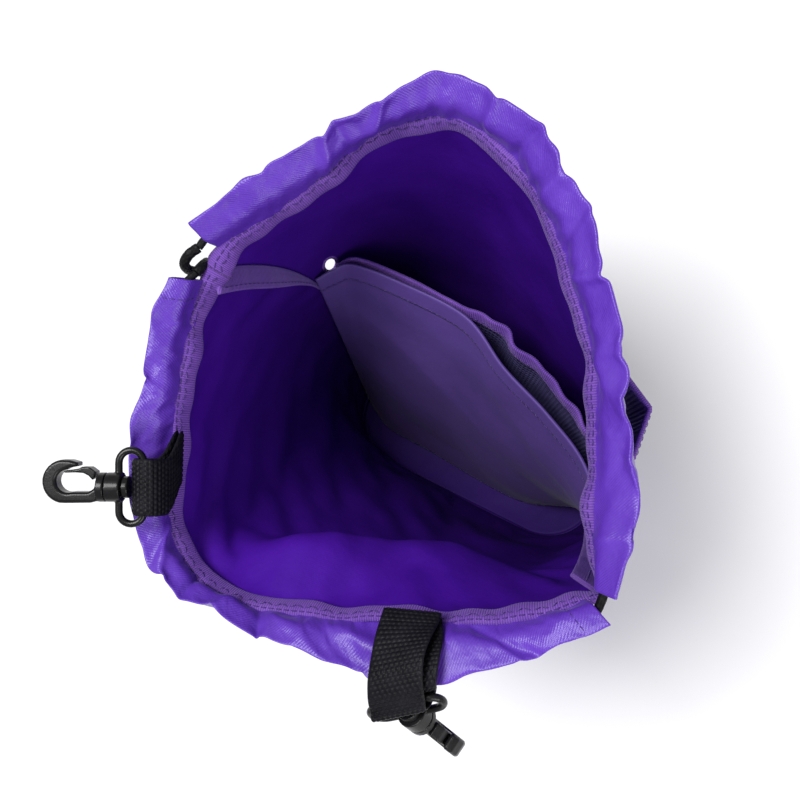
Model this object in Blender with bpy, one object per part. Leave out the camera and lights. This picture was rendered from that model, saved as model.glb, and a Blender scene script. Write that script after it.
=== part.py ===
"""Treat pouch with a drawstring mouth, standing on its base with the mouth held open.

Lengths in this script are millimetres until they reach a mesh, where MM turns them into metres.
+Z is up, the back panel with the two swivel hooks is towards +Y, the front pocket towards -Y.
The origin is the middle of the base panel's underside.
"""
import math

import bmesh
import bpy
import numpy as np
from mathutils import Matrix, Vector

MM = 0.001
GAP = 0.3                     # air left between pieces that touch on the real pouch

# Heights
BASE_THICK = 1.5
WALL_BOTTOM = BASE_THICK + GAP
WALL_MIDDLE = 110.0
WALL_TOP = 184.0
CASING_BOTTOM = 185.5
CASING_TOP = 199.0
WALL_THICK = 1.2
WALL_ROWS = 9
WALL_COLUMNS = 27
FINE = 120                    # samples of an outline before it is trimmed

# Base panel: a stadium, turned a little about Z
BASE_HALF_LENGTH = 71.0
BASE_HALF_WIDTH = 27.0
BASE_TURN = math.radians(16.4)

# Side seams at the mouth, and the outlines between them, left seam first
MOUTH_FRONT = [(95, -14.5), (96, -20), (88, -42), (80, -66), (74, -90), (57, -107), (33, -111),
               (9, -103), (-13, -91), (-33, -77), (-50, -59), (-66, -40), (-85, -21)]
MOUTH_BACK = [(95, -14.5), (93, -8), (83, 12), (71, 32), (57, 51), (41, 69), (19, 75), (-3, 64),
              (-22, 51), (-39, 34), (-57, 18), (-73, 0), (-85, -21)]
MIDDLE_FRONT = [(93, -26), (93, -41), (88, -60), (72, -76), (42, -88), (10, -84), (-20, -75),
                (-44, -66), (-62, -52), (-82, -24)]
MIDDLE_BACK = [(93, -26), (91, -8), (83, 13), (66, 34), (44, 46), (20, 48), (-8, 42), (-34, 30),
               (-58, 12), (-76, -8), (-82, -24)]

# Top edges of the two drawstring casings
EDGE_FRONT = [(104, -24), (94, -48), (84, -72), (74, -96), (58, -117), (32, -120), (7, -114),
              (-17, -102), (-37, -85), (-56, -67), (-75, -49), (-87, -27)]
EDGE_BACK = [(99, -2), (88, 21), (75, 43), (58, 62), (39, 78), (17, 77), (-7, 67), (-30, 57),
             (-53, 45), (-69, 26), (-82, 5), (-92, -17)]
CASING_ENDS_FRONT = (0.028, 0.985)   # share of the mouth outline that each casing covers
CASING_ENDS_BACK = (0.022, 0.978)
CASING_SKIN = 0.8
CASING_PROFILE = [(0.0, 0.9), (0.15, 2.5), (0.35, 3.2), (0.65, 3.2), (0.87, 2.4), (1.0, 1.0)]

# Seam tape round the mouth
TAPE_TOP = 187.0
TAPE_BOTTOM = 181.5
TAPE_INSET_TOP = 2.4
TAPE_INSET_BOTTOM = 5.6
TAPE_THICK = 1.0

# Cords
CORD_RADIUS = 1.9
TAIL_FRONT = [(99.6, -17.6, 192.4), (100.4, -13.6, 193.4), (100.9, -9.6, 191.8), (101.4, -7.6, 187),
              (103.0, -6.9, 180), (104.8, -6.9, 173), (105, -6.9, 160), (105, -6.9, 140),
              (105, -6.9, 120), (105, -7.0, 108), (105, -7.1, 101.4)]
TAIL_BACK = [(95.6, -9.6, 190.2), (96.2, -12.4, 188.6), (97.6, -13.4, 185.6), (100.6, -12.7, 180),
             (104.4, -11.7, 173), (105, -11.7, 160), (105, -11.7, 140), (105, -11.7, 120),
             (105, -11.6, 108), (105, -11.5, 101.4)]
TAIL_POINTS = 30
KNOT_CENTRE = (105.0, -9.4, 94.5)
KNOT_RADII = (4.4, 6.2, 6.4)

# Cord lock: a spring toggle that slides on the two tails
LOCK_CENTRE = (102.6, -9.3, 136.0)
LOCK_SIZE = (12.0, 18.0, 15.6)
LOCK_WALL = 1.2
LOCK_BORE_RADIUS = 6.3
CORD_OFFSET = 2.4             # the cords stand this far from the lock's middle
CORD_SLOT = (4.6, 9.4)        # through the lock, across X and Y
BUTTON_RADIUS = 6.0
BUTTON_LENGTH = 10.2
BUTTON_OUT = 3.6              # how far the button stands out of the lock
BUTTON_SLOT = (7.0, 9.2)
SPRING_RADIUS = 4.2
SPRING_WIRE = 0.45
SPRING_TURNS = 3
CUT_THROUGH = 40.0

# Divider, its hem, and the mesh pocket in front of it
DIVIDER_FOOT = [(60, 20), (45, 23), (20, 17), (-35, 4), (-56, -14)]
DIVIDER_HEAD = [(88, -33.5), (84, -42.5), (59, -51), (26, -58), (-1, -52), (-28, -49), (-53, -43),
                (-74.5, -27.5)]
DIVIDER_TOP = 112.0
HEM_HEIGHT = 8.0
MESH_FOOT = [(56, 5), (20, 4), (-35, -10), (-57, -23)]
MESH_HEAD = [(88, -44), (83, -51), (58, -58), (27, -63), (11, -67), (-3, -64), (-14, -66), (-30, -62),
             (-47, -55), (-71.5, -33)]
MESH_TOP = 109.5
MESH_BINDING = 5.0
INNER_FOOT = 4.0
INNER_COLUMNS = 25
SHEET_THICK = 1.0
BINDING_THICK = 2.0

# Front pocket outside the front panel
POCKET_BOTTOM = 20.0
POCKET_TOP = 116.0
POCKET_BINDING = 6.0
POCKET_CLEAR = 2.4            # air behind the pocket at its foot
POCKET_FLARE = 0.6            # below 1, the pocket opens early and then rises steeply
POCKET_COLUMNS = 27
POCKET_SPAN = (0.14, 0.86)    # share of the front panel's width
POCKET_HEAD = [(84, -75), (77, -90), (66, -103), (48, -104), (20, -101), (-8, -93), (-34, -82),
               (-57, -77), (-65, -58)]

# Side seam bindings: direction in which each stands in from the seam, at top, middle and foot
FIN_START = 4.6
FIN_WIDTH = 5.0
FIN_THICK = 1.4
FIN_TOP = 174.0
FIN_LEFT = [(-1.0, 0.15), (-0.80, 0.60), (-0.90, 0.45)]
FIN_RIGHT = [(0.99, 0.13), (0.90, 0.35), (0.95, 0.20)]

# Webbing loops, drawn as the middle line of the strap: distance out from the seam, and height
STRAP_WIDTH = 20.0
STRAP_THICK = 1.4
STRAP_STEPS = 44
LEFT_LOOP = [(-1.3, 189.4), (-1.7, 194), (-1.0, 198.8), (1.2, 201.2), (3.9, 201.6), (5.8, 203.9),
             (4.3, 206.5), (1.0, 207.4), (-2.4, 205.8), (-4.2, 200.5), (-4.2, 194), (-3.2, 189.4)]
RIGHT_LOOP = [(-1.0, 189.6), (3.6, 194.4), (9.0, 199.6), (14.0, 202.4), (18.0, 202.8),
              (20.6, 200.9), (22.0, 197.6), (24.9, 195.8), (27.8, 197.6), (27.9, 200.7),
              (24.6, 202.4), (19, 205.2), (12, 205.2), (4.3, 200.0), (-0.3, 194.4), (-2.9, 190.6)]
LEFT_SEAM_POINT = (57.8, 47.5)
RIGHT_SEAM_POINT = (-46.5, 26.8)
LEFT_OUT = (0.77, 0.64)
RIGHT_OUT = (-0.64, 0.77)
LEFT_ALONG = (-0.64, 0.77)
RIGHT_ALONG = (-0.77, -0.64)
LEFT_SHIFT = 10.2             # how far the fold sits along the seam from the sewn end
RIGHT_SHIFT = -1.0
LEFT_SPLAY = 0.0
RIGHT_SPLAY = 4.0             # how far the lower run of the strap swings aside from the upper one
LEFT_BAR = (2.2, 204.1)       # the ring's bar inside the loop, out from the seam and height
RIGHT_BAR = (24.6, 199.1)

# Directions of the ring's bar and of the hook
LEFT_BAR_AXIS = (0.651, -0.759, 0.035)
LEFT_HOOK_AXIS = (0.719, 0.630, 0.292)
RIGHT_BAR_AXIS = (-0.508, -0.855, 0.104)
RIGHT_HOOK_AXIS = (-0.591, 0.259, -0.765)
LEFT_HOOK_ROLL = 0.0          # turn of the hook in its swivel, in degrees
RIGHT_HOOK_ROLL = 42.0

# Ring and swivel, from the bar outwards
ROD_RADIUS = 1.35
RING_HALF = 13.0
RING_DEPTH = 8.8
BARREL_RADIUS = 5.2
BARREL_SPAN = (7.4, 12.7)
POST_RADIUS = 2.4
BORE_RADIUS = 2.7
HEAD_RADIUS = 3.9
HEAD_SPAN = (4.9, 7.1)
SHOULDER_SPAN = (13.0, 15.6)
HOOK_THICK = 6.0
GATE_THICK = 4.8
HOOK_BEVEL = 0.7
GATE_BEVEL = 0.3
HOOK_OUTLINE = [(-4.6, 15.2), (-5.3, 18), (-5.4, 26.4)]
HOOK_ROUND = (2.2, 27.2, 7.7)            # across, along, radius of the rounded end
HOOK_TIP = [(9.7, 25.2), (8.9, 22.4), (7.5, 22.4), (7.0, 25.4)]
HOOK_INNER = (2.3, 26.0, 4.0)
HOOK_NECK = [(-1.5, 24.2), (-1.5, 18.8), (-0.4, 17.0), (2.0, 16.0), (3.4, 15.2)]
GATE_OUTLINE = [(3.4, 16.5), (5.6, 16.2), (7.2, 18.4), (7.3, 21.2), (6.7, 22.1), (6.2, 25),
                (5.9, 27.4), (5.2, 27.1), (5.3, 23.2), (5.1, 20.6), (4.2, 18.8), (2.7, 17.4)]
GATE_ROOT = (4.4, 16.8)

PURPLE = (0.105, 0.024, 0.420, 1)
LILAC = (0.230, 0.085, 0.520, 1)
DARK_PURPLE = (0.045, 0.010, 0.200, 1)
BLACK = (0.012, 0.012, 0.014, 1)


def clear_scene():
    for item in list(bpy.data.objects):
        bpy.data.objects.remove(item, do_unlink=True)


def material(name, colour, roughness, metallic=0.0):
    made = bpy.data.materials.get(name) or bpy.data.materials.new(name)
    made.use_nodes = True
    shader = made.node_tree.nodes["Principled BSDF"]
    shader.inputs["Base Color"].default_value = colour
    shader.inputs["Roughness"].default_value = roughness
    shader.inputs["Metallic"].default_value = metallic
    return made


def smooth_curve(points, count):
    """Evenly spaced samples of a Catmull-Rom curve through the points."""
    pts = np.array(points, float)
    pts = np.vstack([2 * pts[0] - pts[1], pts, 2 * pts[-1] - pts[-2]])
    fine = []
    for i in range(1, len(pts) - 2):
        p0, p1, p2, p3 = pts[i - 1:i + 3]
        for t in np.linspace(0, 1, 16, endpoint=False):
            fine.append(0.5 * (2 * p1 + (p2 - p0) * t + (2 * p0 - 5 * p1 + 4 * p2 - p3) * t ** 2
                               + (3 * p1 - p0 - 3 * p2 + p3) * t ** 3))
    fine.append(pts[-2])
    return resample(np.array(fine), count)


def resample(line, count, start=0.0, stop=1.0):
    steps = np.linalg.norm(np.diff(line, axis=0), axis=1)
    run = np.concatenate([[0.0], np.cumsum(steps)])
    want = np.linspace(start, stop, count) * run[-1]
    return np.stack([np.interp(want, run, line[:, k]) for k in range(line.shape[1])], axis=1)


def base_side(side, count):
    """Half of the base outline, from its left end to its right end; side is -1 front, 1 back."""
    straight = BASE_HALF_LENGTH - BASE_HALF_WIDTH
    line = []
    for angle in np.linspace(0, math.pi / 2, 12):
        line.append((straight + BASE_HALF_WIDTH * math.cos(angle),
                     side * BASE_HALF_WIDTH * math.sin(angle)))
    line += [(-x, y) for x, y in reversed(line)]
    turn = np.array([[math.cos(BASE_TURN), math.sin(BASE_TURN)],
                     [-math.sin(BASE_TURN), math.cos(BASE_TURN)]])
    return resample(np.array(line) @ turn, count)


def wall_grid(side, heights, count):
    """Outer surface of one panel: rows follow the heights, columns run left seam to right."""
    base = base_side(side, count)
    middle = smooth_curve(MIDDLE_FRONT if side < 0 else MIDDLE_BACK, count)
    mouth = smooth_curve(MOUTH_FRONT if side < 0 else MOUTH_BACK, count)
    rows = []
    for z in heights:
        a, b, c = 0.0, WALL_MIDDLE, WALL_TOP
        wa = (z - b) * (z - c) / ((a - b) * (a - c))
        wb = (z - a) * (z - c) / ((b - a) * (b - c))
        wc = (z - a) * (z - b) / ((c - a) * (c - b))
        flat = wa * base + wb * middle + wc * mouth
        rows.append(np.column_stack([flat, np.full(count, z)]))
    return np.array(rows)


def grid_normals(grid):
    du = np.gradient(grid, axis=1)
    dv = np.gradient(grid, axis=0)
    normal = np.cross(du, dv)
    return normal / np.linalg.norm(normal, axis=2, keepdims=True)


def mesh_object(name, points, faces, surface, place=None, parent=None, sharp=40):
    mesh = bpy.data.meshes.new(name)
    mesh.from_pydata([tuple(np.array(p, float) * MM) for p in points], [], faces)
    mesh.validate()
    made = bpy.data.objects.new(name, mesh)
    bpy.context.collection.objects.link(made)
    face_out(mesh)
    mesh.materials.append(surface)
    mesh.shade_smooth()
    mesh.set_sharp_from_angle(angle=math.radians(sharp))
    if place is not None:
        made.matrix_world = place
    if parent is not None:
        made.parent = parent
    return made


def face_out(mesh):
    work = bmesh.new()
    work.from_mesh(mesh)
    bmesh.ops.recalc_face_normals(work, faces=work.faces)
    work.to_mesh(mesh)
    work.free()


def ring_faces(stations, around, closed):
    """Quads between rings of vertices; closed joins the last ring to the first."""
    faces = []
    for i in range(stations if closed else stations - 1):
        j = (i + 1) % stations
        for k in range(around):
            m = (k + 1) % around
            faces.append((i * around + k, i * around + m, j * around + m, j * around + k))
    return faces


def bar_solid(name, rings, surface, **more):
    """A bar with capped ends through a list of rings."""
    rings = np.array(rings)
    stations, around = rings.shape[:2]
    faces = ring_faces(stations, around, False)
    faces.append(tuple(range(around)))
    faces.append(tuple((stations - 1) * around + k for k in range(around)))
    return mesh_object(name, rings.reshape(-1, 3), faces, surface, **more)


def loop_solid(name, rings, surface, **more):
    """An endless band through a list of rings."""
    rings = np.array(rings)
    faces = ring_faces(rings.shape[0], rings.shape[1], True)
    return mesh_object(name, rings.reshape(-1, 3), faces, surface, **more)


def tube_solid(name, outer, inner, surface):
    """A hollow tube that is open at both ends."""
    outer, inner = np.array(outer), np.array(inner)
    stations, around = outer.shape[:2]
    shift = stations * around
    faces = ring_faces(stations, around, False)
    faces += [tuple(v + shift for v in face) for face in ring_faces(stations, around, False)]
    for i in (0, stations - 1):
        for k in range(around):
            m = (k + 1) % around
            faces.append((i * around + k, i * around + m,
                          i * around + m + shift, i * around + k + shift))
    return mesh_object(name, np.vstack([outer.reshape(-1, 3), inner.reshape(-1, 3)]), faces, surface)


def sheet_solid(name, face_a, face_b, surface):
    """A closed sheet between two grids of the same size."""
    rows, cols = face_a.shape[:2]
    shift = rows * cols
    faces = []
    for i in range(rows - 1):
        for k in range(cols - 1):
            quad = (i * cols + k, i * cols + k + 1, (i + 1) * cols + k + 1, (i + 1) * cols + k)
            faces += [quad, tuple(v + shift for v in quad)]
    rim = [k for k in range(cols)]
    rim += [(i + 1) * cols - 1 for i in range(1, rows)]
    rim += [(rows - 1) * cols + k for k in range(cols - 2, -1, -1)]
    rim += [i * cols for i in range(rows - 2, 0, -1)]
    for a, b in zip(rim, rim[1:] + rim[:1]):
        faces.append((a, b, b + shift, a + shift))
    points = np.vstack([face_a.reshape(-1, 3), face_b.reshape(-1, 3)])
    return mesh_object(name, points, faces, surface)


def thick_sheet(name, grid, thickness, surface):
    """A sheet with half of its thickness on each side of the grid."""
    normal = grid_normals(grid) * thickness / 2
    return sheet_solid(name, grid + normal, grid - normal, surface)


def lofted_sheet(low, high, heights, top):
    """Rows at the heights given, along straight lines from the foot curve to the head curve."""
    grid = []
    for z in heights:
        share = (z - INNER_FOOT) / (top - INNER_FOOT)
        flat = low * (1 - share) + high * share
        grid.append(np.column_stack([flat, np.full(len(low), z)]))
    return np.array(grid)


# ---------------------------------------------------------------- body of the pouch

def build_wall(name, side, trim_left, trim_right, surface):
    """A panel's outer face is the outline, and its thickness lies inside."""
    grid = wall_grid(side, np.linspace(WALL_BOTTOM, WALL_TOP, WALL_ROWS), FINE)
    inner = grid + side * grid_normals(grid) * WALL_THICK
    pick = np.linspace(trim_left, 1 - trim_right, WALL_COLUMNS) * (FINE - 1)
    low = np.floor(pick).astype(int)
    high = np.minimum(low + 1, FINE - 1)
    mix = (pick - low)[None, :, None]
    outer_face = grid[:, low] * (1 - mix) + grid[:, high] * mix
    inner_face = inner[:, low] * (1 - mix) + inner[:, high] * mix
    inner_face[:, :, 2] = outer_face[:, :, 2]
    return sheet_solid(name, outer_face, inner_face, surface)


def build_base(surface):
    front = base_side(-1, 24)
    back = base_side(1, 24)[::-1][1:-1]
    outline = np.vstack([front, back])
    rings = [np.column_stack([outline, np.full(len(outline), z)]) for z in (0.0, BASE_THICK)]
    return bar_solid("base_panel", rings, surface)


def casing_rings(mouth, edge, ends, count):
    """Outer and inner rings of a casing, and the line that the cord follows inside it."""
    low = resample(smooth_curve(mouth, 200), count, *ends)
    high = smooth_curve(edge, count)
    path = np.column_stack([low, np.full(count, CASING_BOTTOM)])
    top = np.column_stack([high, np.full(count, CASING_TOP)])
    along = np.gradient((path + top) / 2, axis=0)
    outer, inner = [], []
    for start, end, run in zip(path, top, along):
        rise = end - start
        width = np.linalg.norm(rise)
        rise /= width
        out = np.cross(rise, run / np.linalg.norm(run))
        out /= np.linalg.norm(out)
        profile = [(t * width, h) for t, h in CASING_PROFILE]
        profile += [(t, -h) for t, h in reversed(profile)]
        outer.append([start + rise * t + out * h for t, h in profile])
        hollow = []
        for t, h in profile:
            squeeze = CASING_SKIN + t * (width - 2 * CASING_SKIN) / width
            hollow.append(start + rise * squeeze + out * math.copysign(abs(h) - CASING_SKIN, h))
        inner.append(hollow)
    return outer, inner, (path + top) / 2


def build_tape(surface):
    front = resample(smooth_curve(MOUTH_FRONT, 200), 40)[:-1]
    back = resample(smooth_curve(MOUTH_BACK, 200), 40)[::-1][:-1]
    line = np.vstack([front, back])
    count = len(line)
    ahead = np.roll(line, -1, axis=0) - np.roll(line, 1, axis=0)
    inward = np.column_stack([ahead[:, 1], -ahead[:, 0]])
    inward /= np.linalg.norm(inward, axis=1, keepdims=True)
    for _ in range(14):
        inward = (np.roll(inward, 1, axis=0) + inward + np.roll(inward, -1, axis=0)) / 3
    inward /= np.linalg.norm(inward, axis=1, keepdims=True)
    middle = line.mean(axis=0)
    if np.sum((middle - line) * inward) < 0:
        inward = -inward
    rings = []
    for i in range(count):
        ring = []
        for inset, z in ((TAPE_INSET_TOP, TAPE_TOP), (TAPE_INSET_TOP + TAPE_THICK, TAPE_TOP),
                         (TAPE_INSET_BOTTOM + TAPE_THICK, TAPE_BOTTOM),
                         (TAPE_INSET_BOTTOM, TAPE_BOTTOM)):
            flat = line[i] + inward[i] * inset
            ring.append((flat[0], flat[1], z))
        rings.append(ring)
    return loop_solid("mouth_tape", rings, surface)


def build_fin(name, column, directions, surface):
    """Bound seam allowance that stands inside a side seam."""
    heights = np.linspace(INNER_FOOT, FIN_TOP, 9)
    seam = wall_grid(-1, heights, 3)[:, column]
    top, middle, foot = (np.array(d) for d in directions)
    rings = []
    for point in seam:
        z = point[2]
        if z > WALL_MIDDLE:
            lean = middle + (top - middle) * (z - WALL_MIDDLE) / (WALL_TOP - WALL_MIDDLE)
        else:
            lean = foot + (middle - foot) * z / WALL_MIDDLE
        lean = np.array([*lean, 0.0]) / np.linalg.norm(lean)
        across = np.array([-lean[1], lean[0], 0.0]) * FIN_THICK / 2
        near, far = point + lean * FIN_START, point + lean * (FIN_START + FIN_WIDTH)
        rings.append([near - across, far - across, far + across, near + across])
    return bar_solid(name, rings, surface)


def bound_sheet(names, foot, head, top, edge, rows, surfaces):
    """A sheet with a thicker binding along its top edge, as two pieces."""
    low, high = smooth_curve(foot, INNER_COLUMNS), smooth_curve(head, INNER_COLUMNS)
    seam = top - edge
    spans = ((INNER_FOOT, seam - GAP, rows, SHEET_THICK), (seam + GAP, top, 3, BINDING_THICK))
    for name, (start, stop, count, thick), surface in zip(names, spans, surfaces):
        grid = lofted_sheet(low, high, np.linspace(start, stop, count), top)
        thick_sheet(name, grid, thick, surface)


def build_divider(cloth, binding):
    bound_sheet(("divider_panel", "divider_hem"), DIVIDER_FOOT, DIVIDER_HEAD, DIVIDER_TOP,
                HEM_HEIGHT, 12, (cloth, binding))


def build_mesh_pocket(netting, binding):
    bound_sheet(("mesh_pocket_panel", "mesh_pocket_binding"), MESH_FOOT, MESH_HEAD, MESH_TOP,
                MESH_BINDING, 9, (netting, binding))


def build_front_pocket(netting, binding):
    """A gusseted mesh pocket outside the front panel, open at the top."""
    pick = (np.linspace(*POCKET_SPAN, POCKET_COLUMNS) * (FINE - 1)).astype(int)
    head = resample(np.array(POCKET_HEAD, float), POCKET_COLUMNS)
    wall_top = wall_grid(-1, [POCKET_TOP], FINE)[0, pick, :2]

    def rows_at(heights):
        rows = []
        for row in wall_grid(-1, heights, FINE):
            z = row[0, 2]
            share = min(1.0, (z - POCKET_BOTTOM) / (POCKET_TOP - POCKET_BOTTOM)) ** POCKET_FLARE
            flat = row[pick, :2] + outward(row, pick) * POCKET_CLEAR * (1 - share)
            flat = flat + (head - wall_top) * share
            rows.append(np.column_stack([flat, np.full(POCKET_COLUMNS, z)]))
        return np.array(rows)

    netting_rows = np.linspace(POCKET_BOTTOM, POCKET_TOP - GAP, 9)
    binding_rows = np.linspace(POCKET_TOP, POCKET_TOP + POCKET_BINDING, 3)
    thick_sheet("front_pocket_mesh", rows_at(netting_rows), WALL_THICK, netting)
    thick_sheet("front_pocket_binding", rows_at(binding_rows), BINDING_THICK, binding)


def outward(row, pick):
    """Outward normals in plan of one row of the front wall."""
    ahead = np.gradient(row[:, :2], axis=0)
    normal = np.column_stack([-ahead[:, 1], ahead[:, 0]])
    normal /= np.linalg.norm(normal, axis=1, keepdims=True)
    middle = row[:, :2].mean(axis=0) + np.array([0, 60.0])
    if np.sum((row[:, :2] - middle) * normal) < 0:
        normal = -normal
    return normal[pick]


# ---------------------------------------------------------------- cords and cord lock

def cord_object(name, points, surface):
    curve = bpy.data.curves.new(name, "CURVE")
    curve.dimensions = "3D"
    curve.bevel_depth = CORD_RADIUS * MM
    curve.bevel_resolution = 2
    curve.use_fill_caps = True
    spline = curve.splines.new("POLY")
    spline.points.add(len(points) - 1)
    for point, place in zip(spline.points, points):
        point.co = (*(np.array(place) * MM), 1)
    curve.materials.append(surface)
    made = bpy.data.objects.new(name, curve)
    bpy.context.collection.objects.link(made)
    return made


def box_points(centre, size):
    cx, cy, cz = centre
    x, y, z = (s / 2 for s in size)
    return [(cx + a * x, cy + b * y, cz + c * z) for a, b, c in
            ((-1, -1, -1), (1, -1, -1), (1, 1, -1), (-1, 1, -1),
             (-1, -1, 1), (1, -1, 1), (1, 1, 1), (-1, 1, 1))]


BOX_FACES = [(0, 1, 2, 3), (4, 5, 6, 7), (0, 1, 5, 4), (1, 2, 6, 5), (2, 3, 7, 6), (3, 0, 4, 7)]


def box(name, centre, size, surface, **more):
    return mesh_object(name, box_points(centre, size), BOX_FACES, surface, **more)


def round_bar(name, start, end, radius, surface, sides=24, **more):
    """A cylinder between two points."""
    start, end = np.array(start, float), np.array(end, float)
    axis = Vector(end - start).normalized()
    side = axis.orthogonal().normalized()
    other = axis.cross(side)
    rings = []
    for point in (start, end):
        ring = []
        for k in range(sides):
            angle = 2 * math.pi * k / sides
            ring.append(point + radius * (np.array(side) * math.cos(angle)
                                          + np.array(other) * math.sin(angle)))
        rings.append(ring)
    return bar_solid(name, rings, surface, **more)


def combine(target, tool, operation):
    """A Boolean with a hidden helper object."""
    tool.hide_render = True
    tool.display_type = "WIRE"
    modifier = target.modifiers.new(tool.name, "BOOLEAN")
    modifier.operation = operation
    modifier.solver = "EXACT"
    modifier.object = tool


def bevel(target, width, segments=2):
    modifier = target.modifiers.new("edges", "BEVEL")
    modifier.width = width * MM
    modifier.segments = segments
    modifier.limit_method = "ANGLE"
    modifier.angle_limit = math.radians(35)
    modifier.harden_normals = False


def build_cord_lock(plastic, steel):
    length = LOCK_SIZE[0]
    left = -length / 2
    place = Matrix.Translation(Vector(LOCK_CENTRE) * MM)
    body = box("cord_lock_body", (0, 0, 0), LOCK_SIZE, plastic)
    bevel(body, 2.0, 3)
    bore = round_bar("lock_bore_cutter", (left + LOCK_WALL, 0, 0), (length, 0, 0),
                     LOCK_BORE_RADIUS, plastic, 32)
    slot = box("lock_slot_cutter", (CORD_OFFSET, 0, 0), (*CORD_SLOT, CUT_THROUGH), plastic)
    button_start = length / 2 + BUTTON_OUT - BUTTON_LENGTH
    button = round_bar("cord_lock_button", (button_start, 0, 0),
                       (button_start + BUTTON_LENGTH, 0, 0), BUTTON_RADIUS, plastic, 32)
    bevel(button, 0.8, 2)
    slot_shift = CORD_OFFSET + (BUTTON_SLOT[0] - CORD_SLOT[0]) / 2
    button_slot = box("button_slot_cutter", (slot_shift, 0, 0), (*BUTTON_SLOT, CUT_THROUGH), plastic)
    combine(body, bore, "DIFFERENCE")
    combine(body, slot, "DIFFERENCE")
    combine(button, button_slot, "DIFFERENCE")
    for item in (body, bore, slot, button, button_slot):
        item.matrix_world = place
    spring_start = left + LOCK_WALL + GAP + SPRING_WIRE
    spring_end = button_start - GAP - SPRING_WIRE
    build_spring(place, spring_start, spring_end, steel)


def build_spring(place, start, end, steel):
    """A small compression spring along X, as a swept wire."""
    steps = SPRING_TURNS * 14
    rings = []
    for i in range(steps + 1):
        angle = 2 * math.pi * SPRING_TURNS * i / steps
        x = start + (end - start) * i / steps
        centre = np.array([x, SPRING_RADIUS * math.cos(angle), SPRING_RADIUS * math.sin(angle)])
        out = np.array([0, math.cos(angle), math.sin(angle)])
        ring = []
        for k in range(6):
            turn = 2 * math.pi * k / 6
            ring.append(centre + SPRING_WIRE * (out * math.cos(turn)
                                                + np.array([1.0, 0, 0]) * math.sin(turn)))
        rings.append(ring)
    made = bar_solid("cord_lock_spring", rings, steel)
    made.matrix_world = place


def build_knot(surface):
    """The knot that keeps the lock on the two tails."""
    rings = []
    for i in range(1, 10):
        polar = math.pi * i / 10
        ring = []
        for k in range(16):
            angle = 2 * math.pi * k / 16
            swell = 1 + 0.10 * math.cos(3 * angle + polar * 2)
            ring.append((KNOT_CENTRE[0] + KNOT_RADII[0] * swell * math.sin(polar) * math.cos(angle),
                         KNOT_CENTRE[1] + KNOT_RADII[1] * swell * math.sin(polar) * math.sin(angle),
                         KNOT_CENTRE[2] + KNOT_RADII[2] * math.cos(polar)))
        rings.append(ring)
    return bar_solid("cord_end_knot", rings, surface)


# ---------------------------------------------------------------- loops, rings and hooks

def place_on_seam(seam, out, along, distance, shift, z):
    flat = np.array(seam) + np.array(out) * distance + np.array(along) * shift
    return np.array([flat[0], flat[1], z])


def build_loop(name, outline, seam, out, along, shift, splay, bar, bar_axis, surface):
    """A strap folded round the ring's bar, with both ends at the seam and its origin there."""
    line = smooth_curve(outline, STRAP_STEPS)
    start = (np.array(outline[0], float) + np.array(outline[-1])) / 2
    pivot = place_on_seam(seam, out, along, start[0], 0.0, start[1])
    reach = 0.75 * np.linalg.norm(np.array(bar) - start)
    ahead = np.gradient(line, axis=0)
    ahead /= np.linalg.norm(ahead, axis=1, keepdims=True)
    side = np.column_stack([-ahead[:, 1], ahead[:, 0]])
    seam_axis = np.array([*along, 0.0])
    turned = np.array(bar_axis, float)
    if np.dot(seam_axis, turned) < 0:
        turned = -turned
    rings = []
    for turn, point, normal in zip(np.linspace(0, 2 * math.pi, STRAP_STEPS), line, side):
        mix = min(1.0, np.linalg.norm(point - start) / reach)
        mix = mix * mix * (3 - 2 * mix)
        aside = shift * mix + splay * max(0.0, math.sin(turn))
        width = seam_axis * (1 - mix) + turned * mix
        width = width / np.linalg.norm(width) * STRAP_WIDTH / 2
        ring = []
        for sign, thick in ((-1, -1), (1, -1), (1, 1), (-1, 1)):
            spot = point + normal * thick * STRAP_THICK / 2
            place = place_on_seam(seam, out, along, spot[0], aside, spot[1])
            ring.append(place + width * sign - pivot)
        rings.append(ring)
    return loop_solid(name, rings, surface, place=Matrix.Translation(Vector(pivot) * MM))


def hook_frame(bar_axis, hook_axis):
    """Local X along the bar, local Y along the hook, local Z across both."""
    x = Vector(bar_axis).normalized()
    y = Vector(hook_axis)
    y = (y - x * x.dot(y)).normalized()
    z = x.cross(y)
    return Matrix((x, y, z)).transposed()


def build_ring(name, place, plastic):
    """Flat oval ring with the swivel's barrel on its outer side."""
    radius = RING_DEPTH / 2
    straight = RING_HALF - radius
    path = []
    for k in range(13):
        angle = -math.pi / 2 + math.pi * k / 12
        path.append((straight + radius * math.cos(angle), radius + radius * math.sin(angle)))
    path += [(-x, y) for x, y in reversed(path)]
    path = np.array(path)
    ahead = np.roll(path, -1, axis=0) - np.roll(path, 1, axis=0)
    ahead /= np.linalg.norm(ahead, axis=1, keepdims=True)
    rings = []
    for (x, y), (ax, ay) in zip(path, ahead):
        ring = []
        for k in range(12):
            angle = 2 * math.pi * k / 12
            ring.append((x + ay * ROD_RADIUS * math.cos(angle),
                         y - ax * ROD_RADIUS * math.cos(angle), ROD_RADIUS * math.sin(angle)))
        rings.append(ring)
    ring = loop_solid(name, rings, plastic)
    barrel = round_bar(name + "_barrel_tool", (0, BARREL_SPAN[0], 0), (0, BARREL_SPAN[1], 0),
                       BARREL_RADIUS, plastic, 28)
    bore = round_bar(name + "_bore_cutter", (0, -0.5 + HEAD_SPAN[0], 0), (0, 30, 0),
                     BORE_RADIUS, plastic, 24)
    combine(ring, barrel, "UNION")
    combine(ring, bore, "DIFFERENCE")
    for item in (ring, barrel, bore):
        item.matrix_world = place
    return ring


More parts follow.
